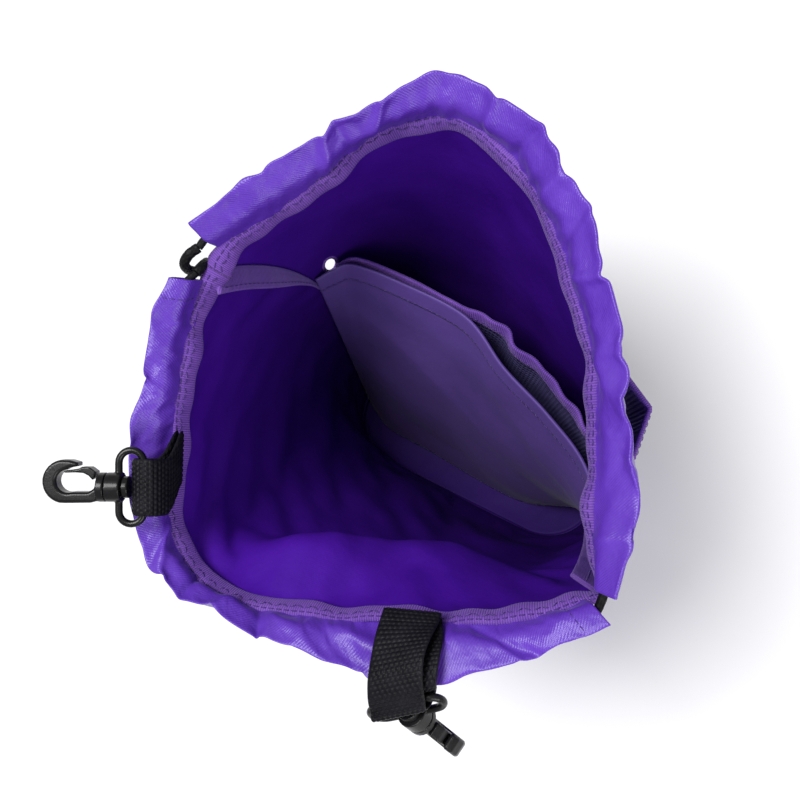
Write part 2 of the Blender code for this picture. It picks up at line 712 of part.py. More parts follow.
def flat_plate(name, outline, thickness, chamfer, surface):
    """A flat outline in local X and Y, thickened along local Z, with chamfered edges."""
    line = np.array(outline, float)
    ahead = np.roll(line, -1, axis=0) - np.roll(line, 1, axis=0)
    ahead /= np.linalg.norm(ahead, axis=1, keepdims=True)
    turning = np.sum(line[:, 0] * np.roll(line[:, 1], -1) - line[:, 1] * np.roll(line[:, 0], -1))
    inward = np.column_stack([-ahead[:, 1], ahead[:, 0]]) * math.copysign(chamfer, turning)
    rings = []
    for z, inset in ((-thickness / 2, 1), (chamfer - thickness / 2, 0),
                     (thickness / 2 - chamfer, 0), (thickness / 2, 1)):
        rings.append(np.column_stack([line + inward * inset, np.full(len(line), z)]))
    return bar_solid(name, rings, surface)


def arc(centre_x, centre_y, radius, start, stop, count):
    return [(centre_x + radius * math.cos(math.radians(a)),
             centre_y + radius * math.sin(math.radians(a)))
            for a in np.linspace(start, stop, count)]


def build_hook(name, place, plastic):
    outline = list(HOOK_OUTLINE)
    outline += arc(*HOOK_ROUND, 180, 10, 15)[1:]
    outline += HOOK_TIP
    outline += arc(*HOOK_INNER, 20, 180, 12)
    outline += HOOK_NECK
    hook = flat_plate(name, outline, HOOK_THICK, HOOK_BEVEL, plastic)
    shoulder = round_bar(name + "_shoulder_tool", (0, SHOULDER_SPAN[0], 0),
                         (0, SHOULDER_SPAN[1], 0), BARREL_RADIUS, plastic, 28)
    post = round_bar(name + "_post_tool", (0, HEAD_SPAN[1] - 0.5, 0),
                     (0, SHOULDER_SPAN[1] - 0.5, 0), POST_RADIUS, plastic, 20)
    head = round_bar(name + "_head_tool", (0, HEAD_SPAN[0], 0), (0, HEAD_SPAN[1], 0),
                     HEAD_RADIUS, plastic, 20)
    for tool in (shoulder, post, head):
        combine(hook, tool, "UNION")
    for item in (hook, shoulder, post, head):
        item.matrix_world = place
    return hook


def build_gate(name, place, plastic):
    root = Vector((GATE_ROOT[0], GATE_ROOT[1], 0)) * MM
    outline = [(x - GATE_ROOT[0], y - GATE_ROOT[1]) for x, y in GATE_OUTLINE]
    gate = flat_plate(name, outline, GATE_THICK, GATE_BEVEL, plastic)
    gate.matrix_world = place @ Matrix.Translation(root)
    return gate


def build_hook_set(side, outline, seam, out, along, shift, splay, bar, bar_axis, hook_axis,
                   roll, webbing, plastic):
    build_loop(side + "_webbing_loop", outline, seam, out, along, shift, splay, bar, bar_axis,
               webbing)
    spot = place_on_seam(seam, out, along, bar[0], shift, bar[1])
    place = Matrix.Translation(Vector(spot) * MM) @ hook_frame(bar_axis, hook_axis).to_4x4()
    build_ring(side + "_ring", place, plastic)
    turned = place @ Matrix.Rotation(math.radians(roll), 4, "Y")
    build_hook(side + "_hook", turned, plastic)
    build_gate(side + "_hook_gate", turned, plastic)


def main():
    clear_scene()
    nylon = material("nylon", PURPLE, 0.45)
    lining = material("lining", DARK_PURPLE, 0.5)
    tape = material("tape", LILAC, 0.7)
    netting = material("netting", BLACK, 0.8)
    webbing = material("webbing", BLACK, 0.8)
    braid = material("braid", BLACK, 0.75)
    plastic = material("plastic", BLACK, 0.4)
    steel = material("steel", (0.6, 0.6, 0.6, 1), 0.3, 1.0)

    build_base(nylon)
    build_wall("front_panel", -1, 0.0012, 0.014, nylon)
    build_wall("back_panel", 1, 0.0012, 0.014, nylon)
    build_fin("left_seam_binding", 0, FIN_LEFT, tape)
    build_fin("right_seam_binding", 2, FIN_RIGHT, tape)
    build_divider(lining, tape)
    build_mesh_pocket(netting, tape)
    build_front_pocket(netting, tape)
    build_tape(tape)

    outer, inner, front_line = casing_rings(MOUTH_FRONT, EDGE_FRONT, CASING_ENDS_FRONT, 30)
    tube_solid("front_casing", outer, inner, nylon)
    outer, inner, back_line = casing_rings(MOUTH_BACK, EDGE_BACK, CASING_ENDS_BACK, 30)
    tube_solid("back_casing", outer, inner, nylon)
    cord_object("drawcord", np.vstack([front_line, back_line[::-1]]), braid)
    cord_object("cord_tail_front", smooth_curve(TAIL_FRONT, TAIL_POINTS), braid)
    cord_object("cord_tail_back", smooth_curve(TAIL_BACK, TAIL_POINTS), braid)
    build_knot(braid)
    build_cord_lock(plastic, steel)

    build_hook_set("left", LEFT_LOOP, LEFT_SEAM_POINT, LEFT_OUT, LEFT_ALONG, LEFT_SHIFT,
                   LEFT_SPLAY, LEFT_BAR, LEFT_BAR_AXIS, LEFT_HOOK_AXIS, LEFT_HOOK_ROLL,
                   webbing, plastic)
    build_hook_set("right", RIGHT_LOOP, RIGHT_SEAM_POINT, RIGHT_OUT, RIGHT_ALONG, RIGHT_SHIFT,
                   RIGHT_SPLAY, RIGHT_BAR, RIGHT_BAR_AXIS, RIGHT_HOOK_AXIS, RIGHT_HOOK_ROLL,
                   webbing, plastic)


main()
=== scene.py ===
import math

import bpy
import numpy as np
from mathutils import Matrix, Vector
from mathutils.bvhtree import BVHTree


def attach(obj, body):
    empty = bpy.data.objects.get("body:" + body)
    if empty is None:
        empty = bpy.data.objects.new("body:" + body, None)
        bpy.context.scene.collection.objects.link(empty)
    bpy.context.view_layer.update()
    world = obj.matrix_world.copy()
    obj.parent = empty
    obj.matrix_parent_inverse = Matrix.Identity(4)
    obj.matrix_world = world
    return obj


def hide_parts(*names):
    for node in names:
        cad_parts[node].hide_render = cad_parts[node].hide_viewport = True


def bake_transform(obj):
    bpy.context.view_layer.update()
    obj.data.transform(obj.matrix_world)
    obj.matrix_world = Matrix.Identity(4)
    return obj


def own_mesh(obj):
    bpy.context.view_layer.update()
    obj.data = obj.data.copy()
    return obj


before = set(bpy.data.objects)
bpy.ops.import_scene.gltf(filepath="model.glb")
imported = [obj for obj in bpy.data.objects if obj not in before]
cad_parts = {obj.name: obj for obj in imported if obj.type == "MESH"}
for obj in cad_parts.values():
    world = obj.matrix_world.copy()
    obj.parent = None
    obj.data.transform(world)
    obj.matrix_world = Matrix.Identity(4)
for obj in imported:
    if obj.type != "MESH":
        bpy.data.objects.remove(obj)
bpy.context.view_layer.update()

# Looks of the treat pouch. Lengths are millimetres until they reach a mesh, where MM turns them
# into metres. The frame is the CAD model's: +Z up, hooks towards +Y, front pocket towards -Y.
MM = 0.001
SOLVER_SCALE = 20.0
PIECES = {}

# Outlines that the CAD model is built on, left side seam first
WALL_FOOT = 1.8
WALL_MIDDLE = 110.0
WALL_TOP = 184.0
CASING_BOTTOM = 185.5
CASING_TOP = 199.0
BASE_HALF_LENGTH = 71.0
BASE_HALF_WIDTH = 27.0
BASE_TURN = math.radians(16.4)
MOUTH_FRONT = [(95, -14.5), (96, -20), (88, -42), (80, -66), (74, -90), (57, -107), (33, -111),
               (9, -103), (-13, -91), (-33, -77), (-50, -59), (-66, -40), (-85, -21)]
MOUTH_BACK = [(95, -14.5), (93, -8), (83, 12), (71, 32), (57, 51), (41, 69), (19, 75), (-3, 64),
              (-22, 51), (-39, 34), (-57, 18), (-73, 0), (-85, -21)]
MIDDLE_FRONT = [(93, -26), (93, -41), (88, -60), (72, -76), (42, -88), (10, -84), (-20, -75),
                (-44, -66), (-62, -52), (-82, -24)]
MIDDLE_BACK = [(93, -26), (91, -8), (83, 13), (66, 34), (44, 46), (20, 48), (-8, 42), (-34, 30),
               (-58, 12), (-76, -8), (-82, -24)]
EDGE_FRONT = [(104, -24), (94, -48), (84, -72), (74, -96), (58, -117), (32, -120), (7, -114),
              (-17, -102), (-37, -85), (-56, -67), (-75, -49), (-87, -27)]
EDGE_BACK = [(99, -2), (88, 21), (75, 43), (58, 62), (39, 78), (17, 77), (-7, 67), (-30, 57),
             (-53, 45), (-69, 26), (-82, 5), (-92, -17)]
CASING_ENDS_FRONT = (0.028, 0.985)
CASING_ENDS_BACK = (0.022, 0.978)

DIVIDER_FOOT = [(66, 19), (58, 21.5), (45, 23), (20, 17), (-35, 4), (-60, -15)]
DIVIDER_HEAD = [(91.6, -27), (88, -35), (82, -43), (59, -51), (26, -58), (-1, -52), (-28, -49),
                (-53, -43), (-76, -26.5)]
DIVIDER_TOP = 112.0
HEM_HEIGHT = 8.0
MESH_FOOT = [(56, 5), (20, 4), (-35, -10), (-57, -23)]
MESH_HEAD = [(89, -38), (83, -46.6), (58, -54.6), (40, -58.4), (28, -61.2), (19, -64), (10, -65),
             (3, -62.6), (-4, -61.8), (-12, -63), (-21, -60.5), (-30, -59), (-47, -53.5), (-60, -45),
             (-72.5, -32)]
MESH_TOP = 109.5
MESH_BINDING = 5.0
INNER_FOOT = 4.0
POCKET_BOTTOM = 20.0
POCKET_TOP = 116.0
POCKET_BINDING = 6.0
POCKET_CLEAR = 2.4
POCKET_FLARE = 0.6
POCKET_SPAN = (0.14, 0.86)
POCKET_HEAD = [(84, -75), (77, -90), (66, -103), (48, -104), (20, -101), (-8, -93), (-34, -82),
               (-57, -77), (-65, -58)]
FIN_START = 4.6
FIN_WIDTH = 5.0
FIN_TOP = 174.0
FIN_LEFT = [(-0.78, 0.62), (-0.84, 0.54), (-0.90, 0.45)]
FIN_RIGHT = [(0.99, 0.13), (0.90, 0.35), (0.95, 0.20)]

# Cords: the two free ends hang beside the pouch, through the cord lock, to one knot
CORD_RADIUS = 1.9
DRAWCORD_RADIUS = 1.5        # thinner inside the casings, to stay under their creases
TAIL_FRONT = [(99.6, -17.6, 192.4), (100.4, -13.6, 193.4), (100.9, -9.6, 191.8), (101.4, -7.6, 187),
              (103.0, -6.9, 180), (104.8, -6.9, 173), (105, -6.9, 160), (105, -6.9, 140),
              (105, -6.9, 120), (105, -7.0, 108), (105, -7.1, 101.4)]
TAIL_BACK = [(95.6, -9.6, 190.2), (96.2, -12.4, 188.6), (97.6, -13.4, 185.6), (100.6, -12.7, 180),
             (104.4, -11.7, 173), (105, -11.7, 160), (105, -11.7, 140), (105, -11.7, 120),
             (105, -11.6, 108), (105, -11.5, 101.4)]
KNOT_CENTRE = (105.0, -9.4, 94.5)
SPRING_START = (98.6, -9.3, 136.0)
SPRING_LENGTH = 2.65
SPRING_RADIUS = 4.2
SPRING_WIRE = 0.38
SPRING_TURNS = 3

# Webbing loops
STRAP_WIDTH = 20.0
STRAP_THICK = 1.4
LEFT_LOOP = [(-1.3, 189.4), (-1.7, 194), (-1.0, 198.8), (1.2, 201.2), (3.9, 201.6), (5.8, 203.9),
             (4.3, 206.5), (1.0, 207.4), (-2.4, 205.8), (-4.2, 200.5), (-4.2, 194), (-3.2, 189.4)]
RIGHT_LOOP = [(-1.0, 189.6), (3.6, 194.4), (9.0, 199.6), (14.0, 202.4), (18.0, 202.8),
              (20.6, 200.9), (22.0, 197.6), (24.9, 195.8), (27.8, 197.6), (27.9, 200.7),
              (24.6, 202.4), (19, 205.2), (12, 205.2), (4.3, 200.0), (-0.3, 194.4), (-2.9, 190.6)]
LEFT_STRAP = dict(outline=LEFT_LOOP, seam=(57.8, 47.5), out=(0.77, 0.64), along=(-0.64, 0.77),
                  shift=10.2, splay=0.0, bar=(2.2, 204.1), bar_axis=(0.651, -0.759, 0.035))
RIGHT_STRAP = dict(outline=RIGHT_LOOP, seam=(-46.5, 26.8), out=(-0.64, 0.77), along=(-0.77, -0.64),
                   shift=-1.0, splay=4.0, bar=(24.6, 199.1), bar_axis=(-0.508, -0.855, 0.104))

# Bound gap in the front wall, in rows and columns of its cloth
GAP_ROW = 36.0
GAP_HALF_ROWS = 1.9
GAP_COLUMN = 6.6
GAP_HALF_COLUMNS = 2.3
GAP_RIM_RADIUS = 0.95

# Cloth
CLOTH_THICK = 0.45
BASE_THICK = 1.0
NET_THICK = 0.3
MESH_POCKET_PITCH = 1.7      # distance between holes
FRONT_POCKET_PITCH = 1.9
WALL_GROWTH = 0.018          # spare cloth, which gives the folds
CASING_GROWTH = 0.06
CASING_PRESSURE = 0.3
WALL_COLUMNS = 150
WALL_ROWS = 64
CASING_STATIONS = 220
CASING_AROUND = 14           # samples across one layer of a casing

# Camera, as the picture of the pouch is taken: from above, looking into the mouth
CAMERA_PLACE = (-0.06176, -0.070635, 0.452378)
CAMERA_RIGHT = (-0.719, -0.630, -0.292)
CAMERA_UP = (0.651, -0.759, 0.035)
CAMERA_LENS = 36.54


# ---------------------------------------------------------------- curves and grids

def unit(vectors):
    return vectors / np.linalg.norm(vectors, axis=-1, keepdims=True)


def distance_run(line):
    """Distance run along a line at each of its points."""
    return np.concatenate([[0.0], np.cumsum(np.linalg.norm(np.diff(line, axis=0), axis=1))])


def resample(line, count, start=0.0, stop=1.0):
    """Evenly spaced points on a line, from one share of its length to another."""
    line = np.array(line, float)
    run = distance_run(line)
    want = np.linspace(start, stop, count) * run[-1]
    return np.stack([np.interp(want, run, line[:, k]) for k in range(line.shape[1])], axis=1)


def smooth_curve(points, count):
    """Evenly spaced samples of a Catmull-Rom curve through the points."""
    pts = np.array(points, float)
    pts = np.vstack([2 * pts[0] - pts[1], pts, 2 * pts[-1] - pts[-2]])
    fine = []
    for i in range(1, len(pts) - 2):
        p0, p1, p2, p3 = pts[i - 1:i + 3]
        for t in np.linspace(0, 1, 24, endpoint=False):
            fine.append(0.5 * (2 * p1 + (p2 - p0) * t + (2 * p0 - 5 * p1 + 4 * p2 - p3) * t ** 2
                               + (3 * p1 - p0 - 3 * p2 + p3) * t ** 3))
    fine.append(pts[-2])
    return resample(fine, count)


def base_side(side, count):
    """Half of the base's rounded outline, front or back."""
    straight = BASE_HALF_LENGTH - BASE_HALF_WIDTH
    angles = np.linspace(0, math.pi / 2, 24)
    line = [(straight + BASE_HALF_WIDTH * math.cos(a), side * BASE_HALF_WIDTH * math.sin(a))
            for a in angles]
    line += [(-x, y) for x, y in reversed(line)]
    turn = np.array([[math.cos(BASE_TURN), math.sin(BASE_TURN)],
                     [-math.sin(BASE_TURN), math.cos(BASE_TURN)]])
    return resample(np.array(line) @ turn, count)


def wall_grid(side, heights, count):
    """Outer surface of one panel: rows follow the heights, columns run left seam to right."""
    base = base_side(side, count)
    middle = smooth_curve(MIDDLE_FRONT if side < 0 else MIDDLE_BACK, count)
    mouth = smooth_curve(MOUTH_FRONT if side < 0 else MOUTH_BACK, count)
    z = np.array(heights, float)[:, None, None]
    a, b, c = 0.0, WALL_MIDDLE, WALL_TOP
    flat = ((z - b) * (z - c) / ((a - b) * (a - c)) * base
            + (z - a) * (z - c) / ((b - a) * (b - c)) * middle
            + (z - a) * (z - b) / ((c - a) * (c - b)) * mouth)
    tall = np.broadcast_to(z, (len(heights), count, 1))
    return np.concatenate([flat, tall], axis=2)


def grid_normals(grid):
    normal = np.cross(np.gradient(grid, axis=1), np.gradient(grid, axis=0))
    return normal / np.maximum(np.linalg.norm(normal, axis=2, keepdims=True), 1e-9)


def arc_lengths(grid):
    """Distance along the columns and along the rows, in mm, at each point of a grid."""
    du = np.linalg.norm(np.diff(grid, axis=1), axis=2)
    dv = np.linalg.norm(np.diff(grid, axis=0), axis=2)
    u = np.concatenate([np.zeros((grid.shape[0], 1)), np.cumsum(du, axis=1)], axis=1)
    v = np.concatenate([np.zeros((1, grid.shape[1])), np.cumsum(dv, axis=0)], axis=0)
    return u - u.mean(axis=1, keepdims=True) + u.mean(), v


def window(x, start, rise, fall, stop):
    """0 outside start to stop, 1 between rise and fall, smooth in between."""
    up = np.clip((x - start) / max(rise - start, 1e-6), 0, 1)
    down = np.clip((stop - x) / max(stop - fall, 1e-6), 0, 1)
    both = up * down
    return both * both * (3 - 2 * both)


def waves(u, v, seed, length, count=7):
    """Smooth unevenness with a typical wavelength, about -1 to 1."""
    rng = np.random.default_rng(seed)
    total = np.zeros(np.broadcast(u, v).shape)
    for _ in range(count):
        angle, phase = rng.uniform(0, 2 * math.pi, 2)
        k = 2 * math.pi / (length * rng.uniform(0.6, 1.5))
        total += np.cos(k * (u * math.cos(angle) + v * math.sin(angle)) + phase)
    return total / math.sqrt(count)


def crumple(u, v, seed, length):
    """Crossing sharp ridges with soft valleys, 0 to 1, as in crumpled satin."""
    bend = 0.30 * length
    u2 = u + bend * waves(u, v, seed + 50, length * 2.2)
    v2 = v + bend * waves(u, v, seed + 51, length * 2.2)
    one = np.exp(-np.abs(waves(u2, v2 * 0.55, seed, length, 4)) * 3.2)
    two = np.exp(-np.abs(waves(u2 * 0.8, v2, seed + 7, length * 0.8, 4)) * 3.6)
    return one + 0.6 * two - 0.55


def crease(u, v, place, angle, length, width, height):
    """A sharp fold with tapering ends in the cloth's own u and v."""
    a = math.radians(angle)
    du, dv = u - place[0], v - place[1]
    along = du * math.cos(a) + dv * math.sin(a)
    across = dv * math.cos(a) - du * math.sin(a)
    taper = np.clip(1 - (2 * along / length) ** 2, 0, 1)
    spread = width * (0.35 + 0.65 * taper)
    return height * taper * np.exp(-np.abs(across / spread) ** 1.35)


# ---------------------------------------------------------------- meshes

def add_object(name, data):
    made = bpy.data.objects.new(name, data)
    bpy.context.scene.collection.objects.link(made)
    return made


def make_mesh(name, points, faces, uv=None, surfaces=()):
    """A smooth-shaded mesh object from points and uv in mm."""
    mesh = bpy.data.meshes.new(name)
    mesh.from_pydata((np.array(points, float) * MM).tolist(), [], faces)
    if uv is not None:
        layer = mesh.uv_layers.new(name="cloth")
        loops = np.zeros(len(mesh.loops), np.int32)
        mesh.loops.foreach_get("vertex_index", loops)
        layer.data.foreach_set("uv", (np.array(uv, float)[loops] * MM).astype(np.float32).ravel())
    mesh.shade_smooth()
    for surface in surfaces:
        mesh.materials.append(surface)
    PIECES[name] = add_object(name, mesh)
    return PIECES[name]


def thicken(made, thickness, side):
    solidify = made.modifiers.new("thickness", "SOLIDIFY")
    solidify.thickness = thickness * MM
    solidify.offset = side
    return solidify


def subdivide(made):
    smooth = made.modifiers.new("smooth", "SUBSURF")
    smooth.levels = smooth.render_levels = 1


def quads(rows, cols, close_rows=False, close_cols=False):
    """Faces of a grid of points, which may join on to itself either way."""
    i = np.arange(rows if close_rows else rows - 1)
    k = np.arange(cols if close_cols else cols - 1)
    i, k = np.meshgrid(i, k, indexing="ij")
    j, m = (i + 1) % rows, (k + 1) % cols
    faces = np.stack([i * cols + k, i * cols + m, j * cols + m, j * cols + k], axis=-1)
    return faces.reshape(-1, 4).tolist()


def sheet(name, grid, surfaces, thickness=CLOTH_THICK, side=0.0, flip=False, gap=None):
    """Cloth from a grid of points: its first surface is outside, its second inside."""
    u, v = arc_lengths(grid)
    faces = quads(*grid.shape[:2])
    if gap is not None:
        inside = gap.ravel()
        faces = [face for face in faces if not all(inside[corner] for corner in face)]
    if flip:
        faces = [face[::-1] for face in faces]
    uv = np.stack([u, v], axis=-1).reshape(-1, 2)
    made = make_mesh(name, grid.reshape(-1, 3), faces, uv, surfaces)
    solidify = thicken(made, thickness, side)
    if len(surfaces) > 1:
        solidify.material_offset = 1
    return made


def tube(name, rings, surface):
    """A bar with closed ends from rings of points."""
    rings = np.array(rings, float)
    count, around = rings.shape[:2]
    faces = quads(count, around, close_cols=True)
    faces.append(list(range(around))[::-1])
    faces.append([(count - 1) * around + k for k in range(around)])
    run = distance_run(rings.mean(axis=1))
    girth = np.linalg.norm(np.roll(rings[0], -1, axis=0) - rings[0], axis=1).sum()
    u = np.broadcast_to(np.arange(around) / around * girth, (count, around))
    v = np.broadcast_to(run[:, None], (count, around))
    uv = np.stack([u, v], axis=-1).reshape(-1, 2)
    return make_mesh(name, rings.reshape(-1, 3), faces, uv, [surface])


def frames_along(path):
    """Tangents and two turning-free side directions along a path."""
    path = np.array(path, float)
    ahead = unit(np.gradient(path, axis=0))
    side = np.cross(ahead[0], [0.31, 0.52, 0.79])        # any direction that the path doesn't take
    side /= np.linalg.norm(side)
    sides = []
    for tangent in ahead:
        side = side - tangent * (side @ tangent)
        side /= np.linalg.norm(side)
        sides.append(side)
    sides = np.array(sides)
    return ahead, sides, np.cross(ahead, sides)


def braid(name, path, surface, radius=CORD_RADIUS, step=0.34, around=32, strands=8, pitch=9.5):
    """A round braided cord: crossing strands stand out of the tube as geometry."""
    length = np.linalg.norm(np.diff(np.array(path), axis=0), axis=1).sum()
    line = resample(path, max(8, int(length / step)))
    _, a, b = frames_along(line)
    run = np.linspace(0, length, len(line))[:, None]
    turn = np.linspace(0, 2 * math.pi, around, endpoint=False)[None, :]
    left = np.sin(strands * turn / 2 + 2 * math.pi * run / pitch * strands / 4)
    right = np.sin(strands * turn / 2 - 2 * math.pi * run / pitch * strands / 4)
    relief = np.maximum(np.abs(left), np.abs(right)) - 0.72
    r = (radius - 0.12 + 0.5 * relief)[..., None]
    rings = line[:, None, :] + r * (a[:, None, :] * np.cos(turn)[..., None]
                                    + b[:, None, :] * np.sin(turn)[..., None])
    return tube(name, rings, surface), line


def stitches(name, line, normals, surface, length=2.3, gap=0.7, radius=0.2, zigzag=0.0):
    """A row of sewn stitches lying on a surface, each a short tapered thread."""
    line = np.array(line, float)
    total = np.linalg.norm(np.diff(line, axis=0), axis=1).sum()
    count = int(total / (length + gap))
    run = distance_run(line)
    points, faces, uv = [], [], []
    around = 6
    profile = [(0.0, 0.15, -0.25), (0.12, 0.85, 0.05), (0.5, 1.0, 0.16), (0.88, 0.85, 0.05),
               (1.0, 0.15, -0.25)]
    for i in range(count):
        begin = i * (length + gap)
        at = np.interp([begin, begin + length], run, np.arange(len(line)))
        ends = np.stack([np.interp(at, np.arange(len(line)), line[:, k]) for k in range(3)], axis=1)
        near = int(at.mean())
        up = normals[near]
        ahead = ends[1] - ends[0]
        side = np.cross(up, ahead)
        side /= max(np.linalg.norm(side), 1e-9)
        if zigzag:
            ends = ends + side * np.array([[zigzag], [-zigzag]]) * (1 if i % 2 else -1)
            ahead = ends[1] - ends[0]
            side = np.cross(up, ahead)
            side /= max(np.linalg.norm(side), 1e-9)
        start = len(points)
        for t, size, lift in profile:
            centre = ends[0] + ahead * t + up * (lift + 0.04)
            for k in range(around):
                turn = 2 * math.pi * k / around
                points.append(centre + radius * size * (side * math.cos(turn) + up * math.sin(turn)))
                uv.append((k, t * length))
        for row in range(len(profile) - 1):
            for k in range(around):
                m = (k + 1) % around
                faces.append((start + row * around + k, start + row * around + m,
                              start + (row + 1) * around + m, start + (row + 1) * around + k))
        faces.append(tuple(start + k for k in reversed(range(around))))
        faces.append(tuple(start + (len(profile) - 1) * around + k for k in range(around)))
    made = make_mesh(name, points, faces, uv, [surface])
    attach(made, "pouch")
    return made


def buckle(made, held, growth, frames=16, pressure=0.0, limit=3.0, bending=0.4):
    """Cloth simulation: the cloth is cut a little too long for its place, so it folds.

    The mesh is simulated larger than life, which the solver needs, and no point moves
    further than the limit in mm.
    """
    scene = bpy.context.scene
    rest = np.zeros(len(made.data.vertices) * 3, np.float32)
    made.data.vertices.foreach_get("co", rest)
    made.data.vertices.foreach_set("co", rest * SOLVER_SCALE)
    group = made.vertex_groups.new(name="held")
    for index, weight in enumerate(held):
        if weight > 0:
            group.add([index], float(weight), "REPLACE")
    cloth = made.modifiers.new("cloth", "CLOTH")
    values = cloth.settings
    values.vertex_group_mass = "held"
    values.pin_stiffness = 5.0
    values.shrink_min = -growth
    values.quality = 6
    values.mass = 0.25
    values.air_damping = 4.0
    values.tension_stiffness = values.compression_stiffness = 30
    values.shear_stiffness = 10
    values.bending_stiffness = bending
    values.use_pressure = pressure != 0
    values.uniform_pressure_force = pressure
    values.effector_weights.gravity = 0
    cloth.point_cache.frame_start = 1
    cloth.point_cache.frame_end = frames
    for step in range(1, frames + 1):
        scene.frame_set(step)
    done = made.evaluated_get(bpy.context.evaluated_depsgraph_get()).to_mesh()
    moved = np.zeros_like(rest)
    done.vertices.foreach_get("co", moved)
    made.evaluated_get(bpy.context.evaluated_depsgraph_get()).to_mesh_clear()
    made.modifiers.remove(cloth)
    scene.frame_set(1)
    shift = (moved / SOLVER_SCALE - rest).reshape(-1, 3)
    far = np.linalg.norm(shift, axis=1, keepdims=True)
    cap = limit * MM
    shift *= cap * np.tanh(far / cap) / np.maximum(far, 1e-9)
    made.data.vertices.foreach_set("co", (rest.reshape(-1, 3) + shift).ravel())
    made.data.update()


def netting(name, grid, pitch, surface, hole=0.52):
    """Knitted mesh with real holes, laid over a grid of points. Its flat area leaves the holes out."""
    u, v = arc_lengths(grid)
    cols = int(u[-1, -1] / pitch)
    rows = int(v.mean(axis=1)[-1] / pitch)
    lines = np.stack([resample(row, cols + 1) for row in grid])
    net = np.stack([resample(lines[:, k], rows + 1) for k in range(cols + 1)], axis=1)
    points = [net.reshape(-1, 3)]
    faces = []
    corners = (net[:-1, :-1], net[:-1, 1:], net[1:, 1:], net[1:, :-1])
    centre = sum(corners) / 4
    mids = [(corners[k] + corners[(k + 1) % 4]) / 2 for k in range(4)]
    around = []
    for k in range(4):
        around.append(centre + (corners[k] - centre) * hole * 0.86)
        around.append(centre + (mids[k] - centre) * hole * 1.25)
    inner = np.stack(around, axis=2).reshape(-1, 3)
    points.append(inner)
    width = cols + 1
    shift = net.shape[0] * net.shape[1]
    for i in range(rows):
        for k in range(cols):
            outer = (i * width + k, i * width + k + 1, (i + 1) * width + k + 1, (i + 1) * width + k)
            first = shift + (i * cols + k) * 8
            for c in range(4):
                d = (c + 1) % 4
                faces.append((outer[c], outer[d], first + 2 * d, first + 2 * c + 1))
                faces.append((outer[c], first + 2 * c + 1, first + 2 * c))
    made = make_mesh(name, np.vstack(points), faces, None, [surface])
    thicken(made, NET_THICK, 0)
    return made


# ---------------------------------------------------------------- materials

def new_material(name, colour, roughness, metallic=0.0, specular=0.5, sheen=0.0, coat=0.0):
    made = bpy.data.materials.new(name)
    made.use_nodes = True
    shader = made.node_tree.nodes["Principled BSDF"]
    for socket, value in (("Base Color", (*colour, 1)), ("Roughness", roughness),
                          ("Metallic", metallic), ("Specular IOR Level", specular),
                          ("Sheen Weight", sheen), ("Sheen Roughness", 0.35),
                          ("Coat Weight", coat), ("Coat Roughness", 0.2)):
        shader.inputs[socket].default_value = value
    return made, made.node_tree, shader


def node(tree, kind, **values):
    made = tree.nodes.new("ShaderNode" + kind)
    for key, value in values.items():
        if hasattr(made, key):
            setattr(made, key, value)
        else:
            made.inputs[key.replace("_", " ")].default_value = value
    return made


def coordinates_of(tree, kind="Object"):
    return node(tree, "TexCoord").outputs[kind]


def noise(tree, coordinates, scale, detail=3.0, roughness=0.55):
    made = node(tree, "TexNoise", Scale=scale, Detail=detail, Roughness=roughness)
    tree.links.new(coordinates, made.inputs["Vector"])
    return made.outputs["Fac"]


def bands(tree, coordinates, pitch_mm, direction="X", distortion=0.0):
    """Stripes with a pitch in mm on coordinates in metres."""
    made = node(tree, "TexWave", wave_type="BANDS", bands_direction=direction,
                Scale=2 * math.pi / (20 * pitch_mm * MM), Distortion=distortion)
    made.inputs["Detail"].default_value = 1.5
    made.inputs["Detail Scale"].default_value = 1.0
    tree.links.new(coordinates, made.inputs["Vector"])
    return made.outputs["Fac"]


def maths(tree, operation, a, b=0.5, c=0.0):
    made = node(tree, "Math", operation=operation)
    for socket, value in zip(made.inputs, (a, b, c)):
        if isinstance(value, (int, float)):
            socket.default_value = value
        else:
            tree.links.new(value, socket)
    return made.outputs[0]


def ramp(tree, fac, stops):
    made = node(tree, "ValToRGB")
    elements = made.color_ramp.elements
    while len(elements) < len(stops):
        elements.new(0.5)
    for element, (place, colour) in zip(elements, stops):
        element.position = place
        element.color = (*colour, 1)
    tree.links.new(fac, made.inputs["Fac"])
    return made.outputs["Color"]


def blend_colours(tree, kind, fac, a, b):
    made = node(tree, "Mix", data_type="RGBA", blend_type=kind)
    for socket, value in ((made.inputs[0], fac), (made.inputs[6], a), (made.inputs[7], b)):
        if isinstance(value, (int, float)):
            socket.default_value = value
        elif isinstance(value, tuple):
            socket.default_value = (*value, 1)
        else:
            tree.links.new(value, socket)
    return made.outputs[2]


def bump(tree, shader, height, distance_mm, strength=1.0, before=None):
    made = node(tree, "Bump", Strength=strength, Distance=distance_mm * MM)
    tree.links.new(height, made.inputs["Height"])
    if before is not None:
        tree.links.new(before, made.inputs["Normal"])
    tree.links.new(made.outputs["Normal"], shader.inputs["Normal"])
    return made.outputs["Normal"]


